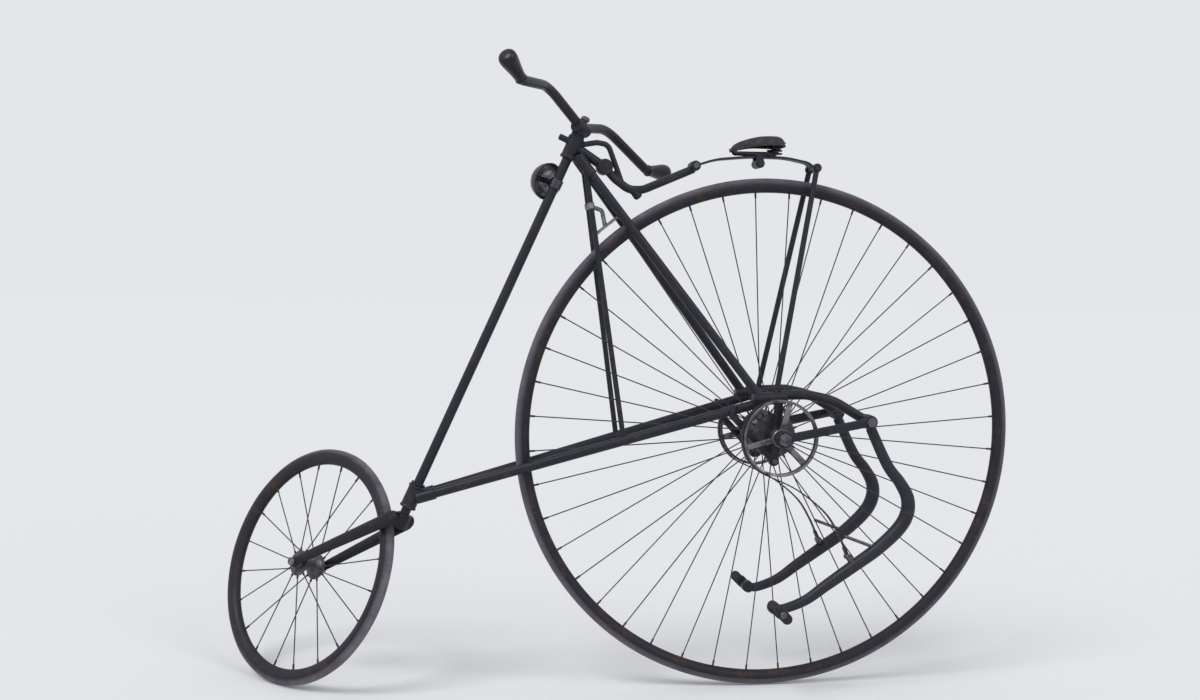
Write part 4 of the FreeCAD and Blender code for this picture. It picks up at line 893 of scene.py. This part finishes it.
horn = black_horn("turned_black_horn")
bar_turn = math.radians(6)
grip_rise = math.radians(17)
bar_ahead = forward * math.cos(bar_turn) + hub_axis * math.sin(bar_turn)
bar_left = hub_axis * math.cos(bar_turn) - forward * math.sin(bar_turn)
bar_place = by_line(sleeve_top + 0.026)


def on_bar(ahead, left, rise):
    """A place by the middle of the bar, in the bar's own directions."""
    return bar_place + ahead * bar_ahead + left * bar_left + rise * steer_axis


grip_foot = {side: on_bar(-0.021, side * 0.287, 0.005) for side in (1, -1)}
grip_run = {side: side * math.cos(grip_rise) * bar_left + math.sin(grip_rise) * steer_axis
            for side in (1, -1)}
bar_end = {side: grip_foot[side] + grip_run[side] * 0.063 for side in (1, -1)}
path = bent([bar_end[-1], grip_foot[-1], on_bar(0.037, -0.135, 0.045), bar_place,
             on_bar(0.037, 0.135, 0.045), grip_foot[1], bar_end[1]], [0.030, 0.090, 0.060, 0.090, 0.030])
grids = [carried(path, circle(28) * 0.012, up=bar_ahead)]
mesh_piece("handlebar_tube", grids, black_japan, "handlebar", "steering")
grids = [crossbar(bar_place, 0.024, 0.018, 40, 0.15, bar_left),
         rod(by_line(sleeve_top + 0.0065), bar_place, 0.018, 40, 0.1)]
forged("handlebar_clamp_forging", grids, black_japan, "handlebar_clamp", "steering", 0.0014)
nub = [(0.0078, 0.016), (0.0078, 0.0195), (0.0112, 0.0205), (0.0112, 0.0255), (0.0098, 0.0285),
       (0.0066, 0.0305), (0.0024, 0.0312)]
grids = [turn_round(nub, bar_place, steer_axis, 36)]
mesh_piece("handlebar_clamp_bolt", grids, oiled_iron, None, "steering")
share = np.array([0, 0.04, 0.06, 0.10, 0.22, 0.38, 0.55, 0.70, 0.82, 0.91, 0.965, 0.99, 1.0])
reach = np.array([0.0130, 0.0150, 0.0150, 0.0140, 0.0146, 0.0165, 0.0190, 0.0212, 0.0220, 0.0205,
                  0.0165, 0.0105, 0.0045])
pear = flowing(np.stack([share, reach, np.zeros(13)], -1), 70)[:, [1, 0]] * [1, 0.090]
for hand, side in HANDS:
    grids = [turn_round(pear, grip_foot[side], grip_run[side], 40, bar_ahead)]
    mesh_piece(hand + "_grip_horn", grids, horn, hand + "_grip", "steering", 50)


# Bell: a thin turned dome, once bright, gone dark and glossy, on a short stem from a band round the
# column. Its mouth faces the column, so the striker inside is out of sight.

def dome_line(radius, depth, angle):
    """Points of a quarter oval that leads from the dome's mouth to its crown."""
    return np.stack([radius * np.cos(angle), depth * np.sin(angle)], -1)


dark_nickel = worn_iron("tarnished_nickel", "#3c3c46", "#5e5e68", 0.22, 0.003)
bell_height = sleeve_foot - 0.068
bell_place = steered(0.028, 0, bell_height)
sweep_up = np.linspace(0, 0.97 * np.pi / 2, 22)
lip = [(0.0435, -0.0012), (0.0458, -0.0014), (0.0468, 0.0002)]
dome = np.vstack([dome_line(0.0435, 0.0395, sweep_up[::-1]), lip, dome_line(0.046, 0.042, sweep_up)])
grids = [turn_round(dome, bell_place, forward, 64, steer_axis),
         eye(by_line(bell_height), steer_axis, 0.0121, 0.016, 0.012),
         rod(steered(0.0145, 0, bell_height), bell_place + forward * 0.0405, 0.007, 24),
         rod(bell_place + forward * 0.0400, bell_place + forward * 0.0432, 0.006, 6)]
mesh_piece("bell_dome", grids, dark_nickel, "bell", "steering")
# The lining inside the dome is far paler nickel than the dome itself: a painted highlight, which gives a
# bright reflection within the mouth.
lining_paled_as_highlight = worn_iron("sheltered_nickel", "#a4a4ac", "#c8c8ce", 0.24, 0.003)
deep = np.linspace(0.38, 0.97 * np.pi / 2, 24)
lining = np.vstack([dome_line(0.0428, 0.0388, deep)[::-1], dome_line(0.0437, 0.0397, deep)])
grids = [turn_round(lining, bell_place, forward, 64, steer_axis)]
mesh_piece("bell_lining", grids, lining_paled_as_highlight, None, "steering")


# Spring bracket: a thick bent bar from the upper head's boss and a thinner neck from the head
# itself, which meet at a knob and run back to the clip that grips the front of the seat spring.

def seat_line(*places):
    """Points on the middle plane by their distance forward of the axle and below the saddle's top."""
    return [by_seat(forward, 0, drop) for forward, drop in places]


neck = bent([by_line(sleeve_foot + 0.046, 0.016),
             *seat_line((0.452, 0.029), (0.424, 0.033), (0.401, 0.092), (0.384, 0.138))],
            [0.020, 0.022, 0.060])
brace = bent([boss, *seat_line((0.405, 0.118), (0.370, 0.143), (0.335, 0.143), (0.206, 0.087))],
             [0.060, 0.040, 0.060])
clip = by_seat(0.204, 0, 0.080)
grids = [carried(neck, circle(20) * 0.007, up=sideways),
         carried(brace, circle(28) * 0.0105, up=sideways),
         rod(*seat_line((0.362, 0.139), (0.343, 0.164)), 0.011, 28, 0.4),
         crossbar(clip, 0.022, 0.013, 32, 0.15)]
forged("spring_bracket_forging", grids, black_japan, "spring_bracket", grain=0.0015)
grids = [hex_nut(clip + sideways * side * 0.0245, sideways, 0.014, 0.005) for side in (1, -1)]
mesh_piece("spring_clip_nuts", grids, oiled_iron)


# Seat spring: one flat leaf of tempered steel from that clip, under the saddle, to a cross bar at
# its tail. It is painted black like the levers, and rust comes through in specks.

leaf = bent([*seat_line((0.212, 0.082), (0.150, 0.062), (0.060, 0.053), (-0.030, 0.053), (-0.088, 0.064)),
             spring_tail], [0.2, 0.4, 0.25, 0.03])
grids = [carried(leaf, oblong(0.003, 0.018, 0.3), up=sideways)]
mesh_piece("seat_spring_leaf", grids, lever_paint, "seat_spring", "frame")
grids = [crossbar(spring_tail, 0.0385, 0.007, 28)]
grids += [hex_nut(spring_tail + sideways * side * 0.0405, sideways, 0.016, 0.006) for side in (1, -1)]
mesh_piece("spring_yoke_bar", grids, black_japan, "spring_yoke")


# Saddle: a short leather top, wetted and moulded over a block, riveted at nose and tail to a pair of
# wire rails with a small coil under its tail, all held to the leaf spring by a clamp and bolt.

saddle_leather = harness_leather("saddle_top_leather", "#1a171c", "#4b3c35")
SADDLE_STATIONS = np.array([
    (112.5, 3, 37, 42), (110, 7, 32, 42), (104, 11, 24, 40), (88, 15, 15, 36), (64, 22, 7, 31),
    (40, 36, 1.5, 28), (16, 48, 0, 27), (-4, 50, 0.5, 27), (-14, 46, 4, 28), (-20, 37, 12, 28),
    (-22.5, 26, 19, 28.5),
]) / 1000


def moulded_shell(stations, wall):
    """Each row is a closed loop across the saddle: an outer arch of half width and height, whose
    cosine is raised to 0.62 and sine to 0.8, and the same arch drawn in by the wall below it."""
    line = np.stack([np.interp(np.linspace(0, 1, 64), np.linspace(0, 1, len(stations)), column)
                     for column in stations.T], -1)
    smooth = np.ones(5) / 5
    padded = np.pad(line, ((2, 2), (0, 0)), mode="edge")
    line[1:-1] = np.stack([np.convolve(padded[:, k], smooth, "valid") for k in range(4)], -1)[1:-1]
    ahead, half, top, edge = (line[:, k, None] for k in range(4))
    angle = np.linspace(0.02, np.pi - 0.02, 41)[None]
    cosine = np.sign(np.cos(angle)) * np.abs(np.cos(angle)) ** 0.62
    sine = np.sin(angle) ** 0.8
    hollow = np.clip(np.minimum(np.arange(64), np.arange(64)[::-1]) / 4, 0, 1)[:, None]
    inner_half, inner_rise = np.maximum(half - wall, 0.0005), np.maximum(edge - top - wall, 0) * hollow
    across = np.concatenate([half * cosine, (inner_half * cosine)[:, ::-1]], 1)
    drop = np.concatenate([edge - (edge - top) * sine, (edge + 0.0004 - inner_rise * sine)[:, ::-1]], 1)
    return np.stack([wheel_centre[0] + np.broadcast_to(ahead, across.shape), across, -drop], -1)


shell = moulded_shell(SADDLE_STATIONS, 0.0045)
grids = [(shell, False)]
for column in (0, 40):
    grids.append(carried(shell[1:-1, column] + [0, 0, 0.0008], circle(10) * 0.0019))
mesh_piece("saddle_top", grids, saddle_leather, "saddle_leather", "frame", 60)
nail_head = [(0.0042, -0.001), (0.0040, 0.0006), (0.0026, 0.0018), (0.0008, 0.0023)]
grids = []
for row, column in ((60, 12), (60, 20), (60, 28), (3, 14), (3, 26)):
    place = shell[row, column]
    out = place - (shell[row - 6 if row > 30 else row + 6, 20] - [0, 0, 0.016])
    grids.append(turn_round(nail_head, place, out, 16))
mesh_piece("saddle_rivets", grids, dark_nickel, None, "frame")

turns = np.linspace(0, 3.5 * 2 * np.pi, 110)
clamp = by_seat(0.039, 0, 0.062)
rails, plates, nuts = [], [], []
for side in (1, -1):
    rail = bent([by_seat(0.104, side * 0.008, 0.032), by_seat(0.101, side * 0.011, 0.045),
                 by_seat(0, side * 0.024, 0.045), by_seat(-0.012, side * 0.030, 0.022)],
                [0.006, 0.014], 0.002)
    foot, head = by_seat(-0.003, side * 0.026, 0.049), by_seat(-0.003, side * 0.026, 0.022)
    rise = foot + (turns / turns[-1])[:, None] * (head - foot)
    coil = rise + np.stack([np.cos(turns), np.sin(turns) * side, np.zeros(110)], -1) * 0.0105
    rails += [carried(rail, circle(16) * 0.0045, up=(0.3, 1, 0.2)), carried(coil, circle(8) * 0.0023)]
    plates += [flat_bar(clamp + [-0.014, side * 0.0165, 0.0165], clamp + [0.014, side * 0.0165, 0.0165],
                        0.011, 0.005, (0, 0, 1), 0.004),
               flat_bar(clamp + [0, side * 0.0185, 0.016], clamp + [0, side * 0.0185, -0.017],
                        0.018, 0.006, sideways, 0.006)]
    nuts.append(hex_nut(clamp + [0, side * 0.0245, -0.008], sideways, 0.015, 0.005))
bridge = [flat_bar(clamp + [0, -0.022, 0.0135], clamp + [0, 0.022, 0.0135], 0.028, 0.006, (0, 0, 1)),
          crossbar(clamp + [0, 0, -0.0075], 0.022, 0.0118, 36, 0.1)]
mesh_piece("saddle_clamp_rails", rails + plates + bridge + nuts, lever_paint, "saddle_frame", "frame")


# Brake: a curved spoon of sheet iron, paled by the tyre's dust, on a bent arm that hangs from a
# cross bar between the two front struts.

spoon_iron = worn_iron("dusty_spoon_iron", "#77777e", "#a3a3a8", 0.45, 0.002)
spoon_reach = tyre_radius["rear"] + 0.025
spoon_turn = math.radians(50.4)
SPOON_LENGTH = 0.074
angle = spoon_turn + np.linspace(-0.5, 0.5, 24) * SPOON_LENGTH / spoon_reach
path = wheel_centre + np.stack([np.cos(angle), np.zeros(24), np.sin(angle)], -1) * spoon_reach
wide = np.linspace(-0.017, 0.017, 15)
section = np.concatenate([np.stack([0.002 - 9 * wide ** 2, wide], -1),
                          np.stack([-0.002 - 9 * wide ** 2, wide], -1)[::-1]])
ends = 0.55 + 0.45 * np.sqrt(np.clip(1 - (np.abs(np.linspace(-1, 1, 24)) / 1.02) ** 8, 0, 1))
cross_ends = [toward(*strut_ends[side], 0.098) for side in (1, -1)]
middle = (cross_ends[0] + cross_ends[1]) / 2
foot = wheel_centre + np.array([math.cos(spoon_turn), 0, math.sin(spoon_turn)]) * spoon_reach
arm = bent([middle, foot + [0.008, 0, 0.038], foot], [0.010])
grids = [carried(path, section * [-1, 1], 1.0, ends, up=sideways),
         rod(*cross_ends, 0.0055, 20),
         carried(arm, circle(18) * 0.0055, up=sideways)]
grids += [socket(strut_ends[side], 0.090, 0.106, 0.0088, 24, 0.25) for side in (1, -1)]
mesh_piece("brake_spoon_iron", grids, spoon_iron, "brake_spoon")


# Floor and surround: a sheet of matt paper under the wheels, and round it a surround that glows
# evenly. The camera, metal and glass see that surround in the floor's own colour.

def pale_paper(name):
    """Matt paper: one pale colour under a grain of about 2 mm that is too faint to show as a
    pattern and only keeps the shade from looking like plastic."""
    paper, place = new_material(name)
    grain = add(paper, "TexNoise", {"Vector": place, "Scale": 1 / 0.002, "Detail": 2.0})
    bump = add(paper, "Bump", {"Height": grain, "Strength": 0.05, "Distance": 0.0002})
    shader = add(paper, "BsdfPrincipled", {"Base Color": linear(PAPER), "Roughness": 0.95,
                                           "Specular IOR Level": 0.0, "Normal": bump})
    add(paper, "OutputMaterial", {"Surface": shader})
    return paper


PAPER = "#e4e6e9"
ground, reach = cad_box[0][2], 60.0
corners = [(-reach, -reach, ground), (reach, -reach, ground), (reach, reach, ground),
           (-reach, reach, ground)]
floor_mesh = bpy.data.meshes.new("studio_floor")
floor_mesh.from_pydata(corners, [], [(0, 1, 2, 3)])
floor_mesh.materials.append(pale_paper("pale_floor_paper"))
floor = in_scene("studio_floor", floor_mesh)

world = bpy.data.worlds.new("studio_surround")
bpy.context.scene.world = world
world.use_nodes = True
world.node_tree.nodes.clear()
seen = add(world, "LightPath", {}).node.outputs
glow = add(world, "Background", {"Color": linear("#ffffff"), "Strength": 0.555})
plain = add(world, "Background", {"Color": linear(PAPER), "Strength": 1.0})
mirrored = add(world, "Math", {"operation": "MAXIMUM", 0: seen["Is Glossy Ray"],
                               1: seen["Is Transmission Ray"]})
direct = add(world, "Math", {"operation": "MAXIMUM", 0: seen["Is Camera Ray"], 1: mirrored})
chosen = add(world, "MixShader", {0: direct, 1: glow, 2: plain})
add(world, "OutputWorld", {"Surface": chosen})


# Light: two broad soft lamps far off, so that the floor is lit evenly: a key high on the camera's
# left and a weaker fill on its right. With the surround, a colour renders about as it is written.

def soft_lamp(name, place, strength, spread):
    """A far lamp of a wide angle whose light comes from the given direction to the object."""
    lamp = bpy.data.lights.new(name, "SUN")
    lamp.energy = strength
    lamp.angle = math.radians(spread)
    back = np.asarray(place, float) / np.linalg.norm(place)
    right = np.cross((0, 0, 1), back)
    right /= np.linalg.norm(right)
    turn = np.eye(4)
    turn[:3, 0], turn[:3, 1], turn[:3, 2] = right, np.cross(back, right), back
    in_scene(name, lamp).matrix_world = Matrix(turn.tolist())


soft_lamp("key_lamp", (0.75, 0.6, 1.15), 1.4, 25)
soft_lamp("fill_lamp", (-0.8, 1.0, 0.9), 0.6, 30)


# Camera: at the photograph's place and angle, found from the ovals of the two wheels. Its right,
# up and back directions and its place are written as the row frame's forward, left and up.

camera_data = bpy.data.cameras.new("photo_camera")
camera_data.sensor_width = 36.0
camera_data.lens = 42.18
camera = in_scene("photo_camera", camera_data)
turn = np.eye(4)
turn[:3, 0] = (-0.98655396, 0.16266160, 0.01588958)
turn[:3, 1] = (0.00767583, -0.05100041, 0.99866913)
turn[:3, 2] = (0.16325549, 0.98536296, 0.04906610)
turn[:3, 3] = (0.986, 3.458, -0.371)
camera.matrix_world = Matrix(turn.tolist())
bpy.context.scene.camera = camera
bpy.context.scene.view_settings.view_transform = "Standard"

bpy.context.view_layer.update()
